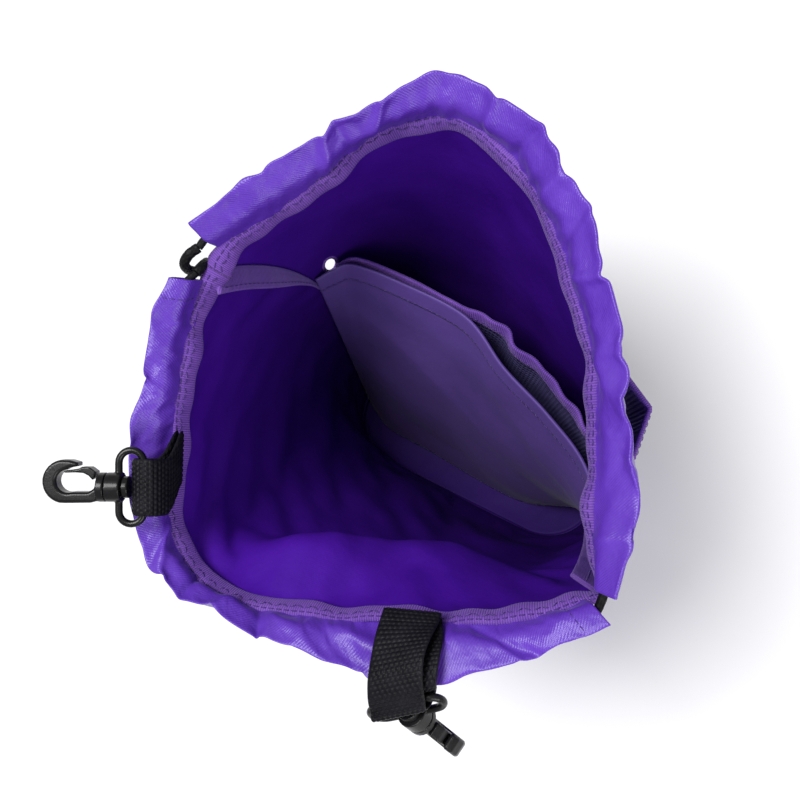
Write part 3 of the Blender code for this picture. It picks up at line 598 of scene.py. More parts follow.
def woven_cloth(name, low, high, roughness, pitch=0.42, relief=0.16, sheen=0.25, specular=0.5,
                creasing=0.5):
    """Plain-woven cloth: fine crossing threads, slow colour changes and small slubs."""
    made, tree, shader = new_material(name, high, roughness, sheen=sheen, specular=specular)
    uv = coordinates_of(tree, "UV")
    warp = bands(tree, uv, pitch, "X", 0.35)
    twill = bands(tree, uv, pitch * 1.2, "DIAGONAL", 0.6)
    threads = maths(tree, "ADD", maths(tree, "MULTIPLY", warp, 0.35),
                    maths(tree, "MULTIPLY", twill, 0.65))
    slow = noise(tree, uv, 34.0, 4.0)
    slubs = noise(tree, uv, 1500.0, 2.0)
    tone = ramp(tree, slow, [(0.30, low), (0.72, high)])
    dark = tuple(0.55 * c for c in low)
    colour = blend_colours(tree, "MIX", maths(tree, "MULTIPLY_ADD", threads, -0.27, 0.34), tone, dark)
    colour = blend_colours(tree, "OVERLAY", 0.22, colour, ramp(tree, slubs, [(0.3, (0.35,) * 3),
                                                                              (0.7, (0.62,) * 3)]))
    tree.links.new(colour, shader.inputs["Base Color"])
    rough = maths(tree, "ADD", maths(tree, "MULTIPLY", slubs, 0.16), roughness - 0.1)
    tree.links.new(rough, shader.inputs["Roughness"])
    creased = noise(tree, uv, 150.0, 4.0)
    first = bump(tree, shader, creased, creasing, 0.6)
    bump(tree, shader, threads, relief, 0.8, before=first)
    return made


def paint_depth_shade(material, low_z, high_z, low, high):
    """Painted shade and light: the cloth's colour is multiplied by a factor that rises with height,
    darker towards the foot of the pouch and lighter near the mouth, in place of the shade deep inside
    it.
    """
    tree = material.node_tree
    shader = tree.nodes["Principled BSDF"]
    before = shader.inputs["Base Color"].links[0].from_socket
    split = node(tree, "SeparateXYZ")
    tree.links.new(coordinates_of(tree), split.inputs[0])
    share = node(tree, "MapRange")
    tree.links.new(split.outputs["Z"], share.inputs["Value"])
    share.inputs["From Min"].default_value = low_z * MM
    share.inputs["From Max"].default_value = high_z * MM
    share.inputs["To Min"].default_value = low
    share.inputs["To Max"].default_value = high
    # Painted shade: this grey factor darkens the colour low in the pouch and lightens it near the
    # mouth.
    grey = node(tree, "CombineXYZ")
    for socket in grey.inputs:
        tree.links.new(share.outputs[0], socket)
    tree.links.new(blend_colours(tree, "MULTIPLY", 1.0, before, grey.outputs[0]),
                   shader.inputs["Base Color"])
    return material


def ribbed_tape(name, low, high, pitch=0.85):
    """Grosgrain: ribs run across the tape, along UV's second axis."""
    made, tree, shader = new_material(name, high, 0.6, sheen=0.12, specular=0.35)
    uv = coordinates_of(tree, "UV")
    ribs = bands(tree, uv, pitch, "X", 0.25)
    fine = bands(tree, uv, 0.33, "Y", 0.3)
    slow = noise(tree, uv, 90.0, 4.0)
    tone = ramp(tree, slow, [(0.3, low), (0.7, high)])
    shade = ramp(tree, ribs, [(0.05, (0.34,) * 3), (0.55, (0.66,) * 3)])
    colour = blend_colours(tree, "OVERLAY", 0.75, tone, shade)
    tree.links.new(colour, shader.inputs["Base Color"])
    first = bump(tree, shader, ribs, 0.22, 0.9)
    bump(tree, shader, fine, 0.06, 0.6, before=first)
    return made


def thread_material(name, colour):
    made, tree, shader = new_material(name, colour, 0.55, sheen=0.3)
    place = coordinates_of(tree)
    grain = noise(tree, place, 2600.0, 3.0)
    tree.links.new(ramp(tree, grain, [(0.3, tuple(0.6 * c for c in colour)), (0.7, colour)]),
                   shader.inputs["Base Color"])
    bump(tree, shader, grain, 0.08, 0.7)
    return made


def black_textile(name, low, high, roughness, fibre=900.0):
    """Black yarn: fibres, dusty high spots and a soft grey glint."""
    made, tree, shader = new_material(name, high, roughness, specular=0.11)
    uv = coordinates_of(tree, "UV")
    place = coordinates_of(tree)
    fibres = noise(tree, place, fibre, 4.0, 0.7)
    slow = noise(tree, place, 120.0, 2.0)
    fine = bands(tree, uv, 0.36, "Y", 1.2)
    mixed = maths(tree, "MULTIPLY", maths(tree, "ADD", fibres, slow), 0.5)
    tree.links.new(ramp(tree, mixed, [(0.32, low), (0.70, high)]), shader.inputs["Base Color"])
    tree.links.new(maths(tree, "ADD", maths(tree, "MULTIPLY", fibres, 0.25), roughness - 0.12),
                   shader.inputs["Roughness"])
    first = bump(tree, shader, fibres, 0.12, 0.6)
    bump(tree, shader, fine, 0.05, 0.5, before=first)
    return made


def moulded_plastic(name, low, high, roughness):
    """Black acetal: faint orange peel, handling marks and slightly greyer patches."""
    made, tree, shader = new_material(name, high, roughness, specular=0.26, coat=0.02)
    place = coordinates_of(tree)
    peel = noise(tree, place, 1400.0, 2.0)
    slow = noise(tree, place, 150.0, 5.0, 0.65)
    tree.links.new(ramp(tree, slow, [(0.35, low), (0.7, high)]), shader.inputs["Base Color"])
    tree.links.new(maths(tree, "ADD", maths(tree, "MULTIPLY", slow, 0.22), roughness - 0.10),
                   shader.inputs["Roughness"])
    bump(tree, shader, peel, 0.03, 0.5)
    return made


def spring_steel(name):
    made, tree, shader = new_material(name, (0.55, 0.55, 0.56), 0.3, metallic=1.0)
    place = coordinates_of(tree)
    marks = noise(tree, place, 3000.0, 3.0)
    tree.links.new(maths(tree, "ADD", maths(tree, "MULTIPLY", marks, 0.2), 0.18),
                   shader.inputs["Roughness"])
    return made


def pale_floor(name):
    made, tree, shader = new_material(name, (0.86, 0.86, 0.87), 0.8, specular=0.2)
    place = coordinates_of(tree)
    soft = noise(tree, place, 3.0, 2.0)
    tree.links.new(ramp(tree, soft, [(0.3, (0.85, 0.85, 0.86)), (0.7, (0.88, 0.88, 0.89))]),
                   shader.inputs["Base Color"])
    return made


NYLON = woven_cloth("satin_nylon", (0.098, 0.025, 0.425), (0.140, 0.046, 0.530), 0.36, relief=0.09,
                    sheen=0.08, creasing=1.1)
# The coated inside is darker than the outer cloth: partly its own coating, partly painted shade of the
# pouch's deep interior.
COATED_AND_SHADED = woven_cloth("coated_inside_painted_shade", (0.040, 0.003, 0.215), (0.056, 0.006, 0.270), 0.62,
                     relief=0.03, sheen=0.0, specular=0.12)
LINING = woven_cloth("lilac_lining", (0.092, 0.050, 0.240), (0.120, 0.062, 0.300), 0.6, relief=0.05,
                     sheen=0.05)
# Painted shade: the inside cloth and the divider get darker towards the foot and lighter near the
# mouth, as light falls into the pouch.
paint_depth_shade(COATED_AND_SHADED, 40, 182, 0.40, 1.45)
paint_depth_shade(LINING, 10, 110, 0.45, 1.25)
TAPE = ribbed_tape("lilac_tape", (0.130, 0.048, 0.340), (0.190, 0.080, 0.430))
THREAD = thread_material("purple_thread", (0.070, 0.018, 0.240))
NET = black_textile("navy_netting", (0.030, 0.025, 0.080), (0.085, 0.075, 0.190), 0.6)
WEBBING = black_textile("black_webbing", (0.0025, 0.0025, 0.004), (0.012, 0.012, 0.016), 0.42)
BRAID = black_textile("black_braid", (0.003, 0.003, 0.004), (0.014, 0.014, 0.017), 0.45)
PLASTIC = moulded_plastic("black_acetal", (0.004, 0.004, 0.005), (0.010, 0.010, 0.011), 0.26)
STEEL = spring_steel("spring_steel")


def place_piece(piece, nodes, body="pouch"):
    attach(piece, body)
    if nodes:
        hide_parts(*nodes)
    return piece


# ---------------------------------------------------------------- walls and base

def open_gap(grid):
    """A small bound opening in the front wall, close to the left side seam."""
    rows, cols = np.meshgrid(np.arange(grid.shape[0]), np.arange(grid.shape[1]), indexing="ij")
    row, col = (rows - GAP_ROW) / GAP_HALF_ROWS, (cols - GAP_COLUMN) / GAP_HALF_COLUMNS
    radius = np.hypot(row, col)
    inside = radius < 1
    stretch = np.where(inside, 1 / np.maximum(radius, 0.05), 1.0)
    at_rows = GAP_ROW + row * stretch * GAP_HALF_ROWS
    at_cols = GAP_COLUMN + col * stretch * GAP_HALF_COLUMNS
    turn = np.linspace(0, 2 * math.pi, 64)
    rim = lay_on(grid, GAP_ROW + GAP_HALF_ROWS * np.sin(turn),
                 GAP_COLUMN + GAP_HALF_COLUMNS * np.cos(turn))
    return lay_on(grid, at_rows, at_cols), inside, rim


def lay_on(grid, rows, cols):
    """Points of a grid at fractional rows and columns.

    The last row and column come out one row or column short, because the fractions are taken
    before the numbers are clipped. So the front wall ends just before its right seam and its top.
    """
    i, k = np.floor(rows).astype(int), np.floor(cols).astype(int)
    a, b = (rows - i)[..., None], (cols - k)[..., None]
    i, k = np.clip(i, 0, grid.shape[0] - 2), np.clip(k, 0, grid.shape[1] - 2)
    return ((grid[i, k] * (1 - b) + grid[i, k + 1] * b) * (1 - a)
            + (grid[i + 1, k] * (1 - b) + grid[i + 1, k + 1] * b) * a)


def bind_gap(rim):
    made, _ = braid("wall_gap_binding", rim, TAPE, radius=GAP_RIM_RADIUS, step=0.3, around=16,
                    strands=4, pitch=3)
    place_piece(made, ())


def build_walls():
    """Both walls: a shaped grid, dented and creased, then simulated with a little spare cloth."""
    heights = np.linspace(WALL_FOOT, CASING_BOTTOM + 0.8, WALL_ROWS)
    for name, cad_node, side, seed in (("front_wall_cloth", "front_panel", -1, 3),
                                       ("back_wall_cloth", "back_panel", 1, 8)):
        grid = wall_grid(side, heights, WALL_COLUMNS)
        inward = -side * grid_normals(grid)
        u, v = arc_lengths(grid)
        share = np.linspace(0, 1, WALL_COLUMNS)[None, :]
        z = heights[:, None]
        free = window(z, 6, 40, 160, 186) * window(share, 0.0, 0.07, 0.93, 1.0)
        dent = 0.9 * waves(u, v * 0.45, seed, 62) + 0.35 * waves(u, v, seed + 1, 24)
        if side > 0:
            crest = 166 - 32 * window(share, 0.44, 0.76, 2, 3)
            slope = np.where(z > crest, 30.0, 15.0)
            dent = dent + 15.0 * np.exp(-((z - crest) / slope) ** 2 - ((share - 0.66) / 0.18) ** 4)
        else:
            dent = dent * 0.8
        grid = grid + inward * (dent * free)[..., None]
        gap = None
        if side < 0:
            grid, gap, rim = open_gap(grid)
            bind_gap(rim)
        made = sheet(name, grid, (NYLON, COATED_AND_SHADED), side=-1, flip=side < 0, gap=gap)
        solidify = made.modifiers["thickness"]
        solidify.show_viewport = False
        held = np.ones(grid.shape[:2])
        held[4:-3, 2:-2] = 0
        if side < 0:
            held[int(GAP_ROW) - 5:int(GAP_ROW) + 6, :int(GAP_COLUMN) + 6] = 1
        buckle(made, held.ravel(), WALL_GROWTH, limit=2.2, bending=2.0)
        solidify.show_viewport = True
        subdivide(made)
        made.modifiers.move(1, 0)
        place_piece(made, (cad_node,))


def build_base():
    """Base cloth, slightly crowned, with its bound seam round the rim."""
    rim = np.vstack([base_side(-1, 90), base_side(1, 90)[::-1][1:-1]])
    centre = rim.mean(axis=0)
    rings = []
    for share in np.linspace(0.02, 1.0, 26):
        flat = centre + (rim - centre) * share
        puff = 1.4 * (1 - share ** 2) + 0.25 * waves(flat[:, 0], flat[:, 1], 5, 30) * (1 - share)
        rings.append(np.column_stack([flat, 1.0 + np.maximum(puff, 0)]))
    inner = centre + (rim - centre) * 0.985
    rings.append(np.column_stack([inner, np.full(len(rim), 2.2)]))
    rings.append(np.column_stack([inner, np.full(len(rim), 4.4)]))
    grid = np.array(rings)
    count = grid.shape[1]
    uv = grid[..., :2].reshape(-1, 2)
    faces = quads(*grid.shape[:2], close_cols=True) + [tuple(range(count))[::-1]]
    made = make_mesh("base_cloth", grid.reshape(-1, 3), faces, uv, [COATED_AND_SHADED, NYLON])
    thicken(made, BASE_THICK, -1).material_offset = 1
    place_piece(made, ("base_panel",))


# ---------------------------------------------------------------- mouth: casings, tape, cord

# Folds seen in each casing: place in mm, angle, length, width and height
CASING_CREASES = {
    "front": [((52, 8), 74, 26, 1.6, 1.5), ((60, 12), 100, 22, 1.3, -1.1),
              ((74, 10), 62, 24, 1.8, 1.3), ((118, 12), 96, 24, 2.2, 1.5),
              ((132, 10), 70, 22, 1.6, -1.4), ((150, 12), 84, 26, 1.8, 1.4),
              ((166, 9), 112, 24, 1.8, -1.2), ((181, 12), 68, 28, 1.6, 1.3),
              ((214, 10), 30, 46, 1.8, 1.1), ((240, 12), 160, 40, 1.8, -1.0),
              ((262, 8), 100, 20, 1.4, 0.9)],
    "back": [((34, 12), 12, 60, 2.2, 1.0), ((72, 9), 170, 50, 1.8, -0.9),
             ((104, 12), 40, 34, 1.8, 1.8), ((118, 10), 96, 26, 1.6, -1.8),
             ((131, 12), 128, 30, 1.8, 2.0), ((147, 9), 84, 24, 1.6, -1.3),
             ((163, 12), 30, 40, 1.8, 1.2), ((186, 10), 20, 44, 1.8, 1.4),
             ((212, 12), 150, 40, 1.8, 1.2), ((232, 9), 40, 38, 1.7, -1.3),
             ((252, 12), 160, 40, 1.7, 1.1)],
}


def build_casing(side, mouth, edge, ends, seed):
    """A flat tube of folded cloth round half of the mouth, flared outwards, with creases."""
    count = CASING_STATIONS
    low = resample(smooth_curve(mouth, 600), count, *ends)
    high = smooth_curve(edge, count)
    start = np.column_stack([low, np.full(count, CASING_BOTTOM)])
    top = np.column_stack([high, np.full(count, CASING_TOP)])
    along = unit(np.gradient((start + top) / 2, axis=0))
    rise = top - start
    width = np.linalg.norm(rise, axis=1, keepdims=True)
    rise /= width
    out = unit(np.cross(rise, along))
    run = distance_run((start + top) / 2)
    ends_free = window(run, -0.1, 14, run[-1] - 14, run[-1] + 0.1)[:, None]

    t = (1 - np.cos(np.linspace(0, math.pi, CASING_AROUND))) / 2
    u, v = np.broadcast_arrays(run[:, None], t[None, :] * width)
    middle = 0.8 * waves(u, v, seed, 60) + 0.6 * crumple(u, v * 1.2, seed + 20, 52)
    for place, angle, length, spread, height in CASING_CREASES[side]:
        middle = middle + crease(u, v, place, angle, length, spread * 1.5, height * 1.2)
    rng = np.random.default_rng(seed)
    for spot in np.arange(6, run[-1], 5.2):
        middle = middle + crease(u, v, (spot + rng.uniform(-1.6, 1.6), rng.uniform(1, 4)),
                                 rng.uniform(60, 120), rng.uniform(7, 15), rng.uniform(0.5, 1.0),
                                 rng.uniform(-0.5, 0.55))
    middle = middle * window(t, -0.02, 0.30, 1.2, 1.4)[None, :] * (0.15 + 0.85 * ends_free)
    lip = (0.9 * waves(run, run * 0, seed + 3, 34) + 0.5 * waves(run, run * 0, seed + 4, 13))
    stretch = 1 + (lip * ends_free[:, 0] * 0.05)[:, None]
    puff = 1 + 0.04 * waves(u, v, seed + 5, 28)
    half = 0.45 + 2.5 * np.exp(-((t[None, :] - 0.5) / 0.24) ** 2) * puff
    half = half * np.sqrt(np.clip(1 - ((t[None, :] - 0.5) / 0.5) ** 8, 0.02, 1))
    if np.mean(out[:, 2]) < 0:
        out = -out
    line = start[:, None, :] + rise[:, None, :] * (t[None, :] * width * stretch)[..., None]
    upper = line + out[:, None, :] * (middle + half)[..., None]
    lower = line + out[:, None, :] * (middle - half)[..., None]
    rings = np.concatenate([upper, lower[:, ::-1]], axis=1)
    around = rings.shape[1]
    girth = distance_run(rings[count // 2])
    uv = np.stack(np.broadcast_arrays(run[:, None], girth[None, :]), axis=-1).reshape(-1, 2)
    faces = quads(count, around, close_cols=True)
    made = make_mesh(side + "_casing_cloth", rings.reshape(-1, 3), faces, uv, [NYLON])
    made.data.update()
    seam_share = np.concatenate([t, t[::-1]])
    held = np.broadcast_to((seam_share < 0.04)[None, :], rings.shape[:2]).ravel().astype(float)
    buckle(made, held, CASING_GROWTH, pressure=CASING_PRESSURE)
    folded = np.zeros(len(made.data.vertices) * 3)
    made.data.vertices.foreach_get("co", folded)
    folded = folded.reshape(rings.shape) / MM
    upper, lower = folded[:, :CASING_AROUND], folded[:, :CASING_AROUND - 1:-1]
    room = 0.35 + 2.7 * np.exp(-((t[None, :] - 0.5) / 0.28) ** 2)
    short = np.maximum(room - np.sum((upper - lower) * out[:, None, :], axis=2) / 2, 0)
    short = short * window(t, -0.01, 0.06, 0.94, 1.01)[None, :]
    upper = upper + out[:, None, :] * short[..., None]
    lower = lower - out[:, None, :] * short[..., None]
    folded = np.concatenate([upper, lower[:, ::-1]], axis=1)
    made.data.vertices.foreach_set("co", (folded * MM).ravel())
    made.data.update()
    subdivide(made)
    thicken(made, CLOTH_THICK, -1)
    place_piece(made, (side + "_casing",))
    normals = np.broadcast_to(out[:, None, :], line.shape)
    return dict(upper=upper, normal=normals, middle=(upper + lower) / 2, run=run)


def casing_hems(name, casing):
    """The turned end of each casing is held by one row of stitches across it."""
    for tag, place in (("start", 7.0), ("finish", casing["run"][-1] - 7.0)):
        at = int(np.argmin(np.abs(casing["run"] - place)))
        stitches(f"{name}_hem_stitches_{tag}", casing["upper"][at, 1:-1], casing["normal"][at, 1:-1],
                 THREAD, length=2.0, gap=0.6, radius=0.16)


def mouth_loop(count_side):
    """The whole mouth seam as one loop, with a slowly turning inward direction."""
    front = resample(smooth_curve(MOUTH_FRONT, 600), count_side)[:-1]
    back = resample(smooth_curve(MOUTH_BACK, 600), count_side)[::-1][:-1]
    line = np.vstack([front, back])
    ahead = np.roll(line, -1, axis=0) - np.roll(line, 1, axis=0)
    inward = np.column_stack([ahead[:, 1], -ahead[:, 0]])
    inward /= np.linalg.norm(inward, axis=1, keepdims=True)
    for _ in range(220):
        inward = (np.roll(inward, 1, axis=0) + inward + np.roll(inward, -1, axis=0)) / 3
    inward /= np.linalg.norm(inward, axis=1, keepdims=True)
    if np.sum((line.mean(axis=0) - line) * inward) < 0:
        inward = -inward
    return line, inward


TAPE_PROFILE = [(-2.0, 186.9), (-1.4, 187.7), (-0.2, 188.0), (1.0, 187.3), (2.2, 185.2), (3.0, 182.4),
                (2.7, 181.6), (2.2, 182.0), (1.4, 184.6), (0.4, 186.2), (-0.8, 186.6)]


def build_tape():
    """Binding tape round the mouth seam, a little wavy, with two rows of stitches."""
    line, inward = mouth_loop(320)
    count = len(line)
    profile = resample(smooth_curve(TAPE_PROFILE + TAPE_PROFILE[:1], 60), 31)[:-1]
    step = np.linalg.norm(np.roll(line, -1, axis=0) - line, axis=1)
    run = np.concatenate([[0], np.cumsum(step)])[:-1]
    total = run[-1] + step[-1]
    turn = run / total * 2 * math.pi
    sway = (0.45 * np.sin(9 * turn + 1) + 0.35 * np.sin(17 * turn + 2.2) + 0.25 * np.sin(31 * turn))
    widen = 1 + 0.12 * np.sin(13 * turn + 0.7) + 0.07 * np.sin(29 * turn)
    from_seam = np.minimum(run, total - run)
    widen = widen + 0.75 * np.exp(-(from_seam / 11) ** 2)
    rings = []
    for i in range(count):
        inset = (profile[:, 0] + 2.0) * widen[i] - 2.0 + sway[i]
        z = profile[:, 1] + 0.4 * math.sin(11 * turn[i] + 0.4)
        flat = line[i] + inward[i] * inset[:, None]
        rings.append(np.column_stack([flat, z]))
    rings = np.array(rings)
    around = rings.shape[1]
    girth = distance_run(rings[0])
    uv = np.stack(np.broadcast_arrays(run[:, None], girth[None, :]), axis=-1).reshape(-1, 2)
    made = make_mesh("mouth_binding", rings.reshape(-1, 3),
                     quads(count, around, close_rows=True, close_cols=True), uv, [TAPE])
    place_piece(made, ("mouth_tape",))
    normal = unit(rings - rings.mean(axis=1, keepdims=True))
    for name, column, zigzag in (("mouth_stitches_outer", 5, 0.0), ("mouth_stitches_inner", 8, 0.5)):
        loop = np.vstack([rings[:, column], rings[:1, column]])
        stitches(name, loop, np.vstack([normal[:, column], normal[:1, column]]), THREAD,
                 length=2.4, gap=0.5, radius=0.28, zigzag=zigzag)
    return rings


def build_fin(name, cad_node, column, directions):
    """Side seam allowance, folded into ribbed tape, standing inside the pouch."""
    heights = np.linspace(INNER_FOOT, FIN_TOP + 10, 110)
    seam = wall_grid(-1, heights, 3)[:, column]
    top, middle, foot = (np.array(d) for d in directions)
    rings = []
    for place in seam:
        z = place[2]
        if z > WALL_MIDDLE:
            lean = middle + (top - middle) * (z - WALL_MIDDLE) / (WALL_TOP - WALL_MIDDLE)
        else:
            lean = foot + (middle - foot) * z / WALL_MIDDLE
        lean = np.array([*lean, 0.0]) / np.linalg.norm(lean)
        across = np.array([-lean[1], lean[0], 0.0])
        sway = 0.5 * math.sin(z / 7.0) + 0.3 * math.sin(z / 2.9)
        kept = 1.0 if column else float(window(z, 98, 156, 300, 301))
        wide = (FIN_WIDTH + 5.0) * (0.14 + 0.86 * kept)
        ring = []
        for a in np.linspace(0, 2 * math.pi, 20, endpoint=False):
            reach = FIN_START - 3.6 + wide * (0.5 + 0.5 * math.copysign(
                abs(math.cos(a)) ** 0.5, math.cos(a)))
            ring.append(place + lean * reach + across * (0.62 * math.copysign(
                abs(math.sin(a)) ** 0.6, math.sin(a)) + sway * 0.4 * reach / 10))
        rings.append(ring)
    made = tube(name, rings, TAPE)
    swap_uv(made)
    place_piece(made, (cad_node,))
    rings = np.array(rings)
    for tag, k in (("a", 4), ("b", 15)):
        normal = unit(rings[:, k] - rings.mean(axis=1))
        stitches(f"{name}_stitches_{tag}", rings[:, k], normal, THREAD, length=2.3, gap=0.6)


def swap_uv(made):
    """Turns a tube's UV so that ribs run across its length."""
    layer = made.data.uv_layers["cloth"]
    values = np.zeros(len(layer.data) * 2, np.float32)
    layer.data.foreach_get("uv", values)
    layer.data.foreach_set("uv", values.reshape(-1, 2)[:, ::-1].copy().ravel())


def build_drawcord(front, back):
    """The cord runs through both casings and shows at the gaps between them."""
    at = CASING_AROUND // 2
    halves = [np.mean(half["middle"][:, at - 1:at + 1], axis=1) for half in (front, back)]
    line = np.vstack([TAIL_FRONT[:1], halves[0][1::2], halves[1][::-2], TAIL_BACK[:1]])
    made, _ = braid("drawcord_braid", smooth_curve(line, 900), BRAID,
                    radius=DRAWCORD_RADIUS, step=0.5, around=24)
    place_piece(made, ("drawcord",))


def build_tails():
    """The two free ends of the cord and the knot that they carry; the cord lock on them is built with
    the hooks.
    """
    knot = build_knot()
    lock = [PIECES["cord_lock_shell"], PIECES["cord_lock_push"], PIECES["lock_spring_coil"]]
    for name, cad_node, route, extra in (
            ("cord_end_front", "cord_tail_front", TAIL_FRONT, [knot, *lock]),
            ("cord_end_back", "cord_tail_back", TAIL_BACK, [])):
        path = smooth_curve(route, 160)
        made, line = braid(name, path, BRAID)
        place_piece(made, (cad_node,))


def build_knot():
    """Overhand knot in both cord ends, drawn as one closed loop without the short sealed tips of the
    cord.
    """
    t = np.linspace(0, 2 * math.pi, 160)
    loop = np.column_stack([-1.9 * np.sin(3 * t), 1.36 * (np.sin(t) + 2 * np.sin(2 * t)),
                            1.42 * (np.cos(t) - 2 * np.cos(2 * t))]) + np.array(KNOT_CENTRE)
    made, _ = braid("cord_knot", loop, BRAID, radius=2.0)
    return place_piece(made, ("cord_end_knot",))


# ---------------------------------------------------------------- divider and pockets

def loft(foot, head, heights, top, columns):
    """A sheet between a foot line near the base and a head line at its top."""
    low, high = smooth_curve(foot, columns), smooth_curve(head, columns)
    share = ((np.array(heights, float) - INNER_FOOT) / (top - INNER_FOOT))[:, None, None]
    flat = low * (1 - share) + high * share
    tall = np.broadcast_to(np.array(heights, float)[:, None, None], (*flat.shape[:2], 1))
    return np.concatenate([flat, tall], axis=2)


# Soft diagonal folds: place in mm, angle, length, width and height
DIVIDER_CREASES = [((60, 70), 152, 130, 13.0, 1.7), ((96, 52), 146, 140, 14.0, -1.6),
                   ((118, 80), 150, 90, 9.0, 0.9), ((38, 40), 140, 80, 10.0, 0.8)]


def build_divider():
    """The panel across the pouch, with soft diagonal folds and a turned hem on top."""
    heights = np.linspace(INNER_FOOT, DIVIDER_TOP, 110)
    grid = loft(DIVIDER_FOOT, DIVIDER_HEAD, heights, DIVIDER_TOP, 180)
    u, v = arc_lengths(grid)
    share = np.linspace(0, 1, 180)[None, :]
    free = window(share, -0.02, 0.10, 0.92, 1.02) * window(v, -1, 18, 88, 118)
    fold = 0.9 * waves(u, v, 21, 52)
    for fold_line in DIVIDER_CREASES:
        fold = fold + crease(u, v, *fold_line)
    grid = grid + grid_normals(grid) * (fold * free)[..., None]
    made = sheet("divider_cloth", grid, (LINING,), thickness=0.4)
    place_piece(made, ("divider_panel",))

    rows = [r for r in range(len(heights)) if heights[r] >= DIVIDER_TOP - HEM_HEIGHT]
    hem = grid[rows]
    normal = grid_normals(grid)[rows]
    rings = []
    for k in range(hem.shape[1]):
        face = hem[:, k] + normal[:, k] * 0.75
        back = hem[:, k] - normal[:, k] * 0.75
        crown = hem[-1, k] + np.array([0, 0, 0.7])
        rings.append(np.vstack([face, crown[None], back[::-1]]))
    made = tube("divider_hem_fold", rings, LINING)
    place_piece(made, ("divider_hem",))
    stitch_both_faces("divider_hem", hem[1], normal[1], 0.8, gap=0.8, radius=0.16)


def stitch_both_faces(name, line, normal, lift, gap, radius):
    for tag, sign in (("front", 1), ("rear", -1)):
        stitches(f"{name}_stitches_{tag}", line + sign * normal * lift, sign * normal, THREAD,
                 length=2.2, gap=gap, radius=radius)


def bound_edge(name, grid, cad_node, bulge=0.85):
    """A ribbed binding folded over the top edge of a sheet."""
    normal = grid_normals(grid)
    rings = []
    for k in range(grid.shape[1]):
        face, back = grid[:, k] + normal[:, k] * bulge, grid[:, k] - normal[:, k] * bulge
        rings.append(np.vstack([face, grid[-1:, k] + [0, 0, bulge * 0.8], back[::-1],
                                grid[:1, k] - [0, 0, 0.2]]))
    made = tube(name, rings, TAPE)
    swap_uv(made)
    place_piece(made, (cad_node,))
    row = grid.shape[0] // 3
    stitch_both_faces(name, grid[row], normal[row], bulge + 0.05, gap=0.7, radius=0.18)


def build_mesh_pocket():
    """The inner pocket of netting, its binding rippled towards the right."""
    seam = MESH_TOP - MESH_BINDING
    grid = loft(MESH_FOOT, MESH_HEAD, np.linspace(INNER_FOOT, seam, 60), MESH_TOP, 170)
    net = netting("mesh_pocket_net", grid, MESH_POCKET_PITCH, NET)
    place_piece(net, ("mesh_pocket_panel",))
    edge = loft(MESH_FOOT, MESH_HEAD, np.linspace(seam - 0.3, MESH_TOP, 7), MESH_TOP, 220)
    ripple = 0.9 * np.sin(np.linspace(0, 74, 220)) * window(np.linspace(0, 1, 220), 0.3, 0.5, 2, 3)
    ripple = ripple[None, :, None]
    edge = edge + grid_normals(edge) * ripple * np.linspace(0.3, 1, 7)[:, None, None]
    bound_edge("mesh_pocket_edge", edge, "mesh_pocket_binding")


def pocket_rows(heights, columns):
    """The front pocket stands off the front wall, more and more towards its open top."""
    fine = 500
    pick = (np.linspace(*POCKET_SPAN, columns) * (fine - 1)).astype(int)
    head = resample(POCKET_HEAD, columns)
    wall_top = wall_grid(-1, [POCKET_TOP], fine)[0, pick, :2]
    rows = []
    for row in wall_grid(-1, heights, fine):
        z = row[0, 2]
        share = min(1.0, (z - POCKET_BOTTOM) / (POCKET_TOP - POCKET_BOTTOM)) ** POCKET_FLARE
        ahead = np.gradient(row[:, :2], axis=0)
        normal = unit(np.column_stack([-ahead[:, 1], ahead[:, 0]]))
        middle = row[:, :2].mean(axis=0) + np.array([0, 60.0])
        if np.sum((row[:, :2] - middle) * normal) < 0:
            normal = -normal
        flat = row[pick, :2] + normal[pick] * POCKET_CLEAR * (1 - share) + (head - wall_top) * share
        rows.append(np.column_stack([flat, np.full(columns, z)]))
    return np.array(rows)


def sewn_down(grid):
    """Carries both ends of a pocket's grid on to the wall that they are sewn to."""
    wall = BVHTree.FromObject(PIECES["front_wall_cloth"], bpy.context.evaluated_depsgraph_get())
    share = np.linspace(0, 1, 9)[None, 1:, None]
    wings = []
    for end in (grid[:, 0], grid[:, -1]):
        seam = np.array([wall.find_nearest(Vector(point * MM))[0] for point in end]) / MM
        wings.append(end[:, None] * (1 - share) + seam[:, None] * share)
    return np.concatenate([wings[0][:, ::-1], grid, wings[1]], axis=1)


def build_front_pocket():
    grid = sewn_down(pocket_rows(np.linspace(POCKET_BOTTOM, POCKET_TOP, 60), 170))
    net = netting("front_pocket_net", grid, FRONT_POCKET_PITCH, NET)
    place_piece(net, ("front_pocket_mesh",))
    edge = sewn_down(pocket_rows(np.linspace(POCKET_TOP - 0.3, POCKET_TOP + POCKET_BINDING, 7), 200))
    bound_edge("front_pocket_edge", edge, "front_pocket_binding")


# ---------------------------------------------------------------- straps and hooks

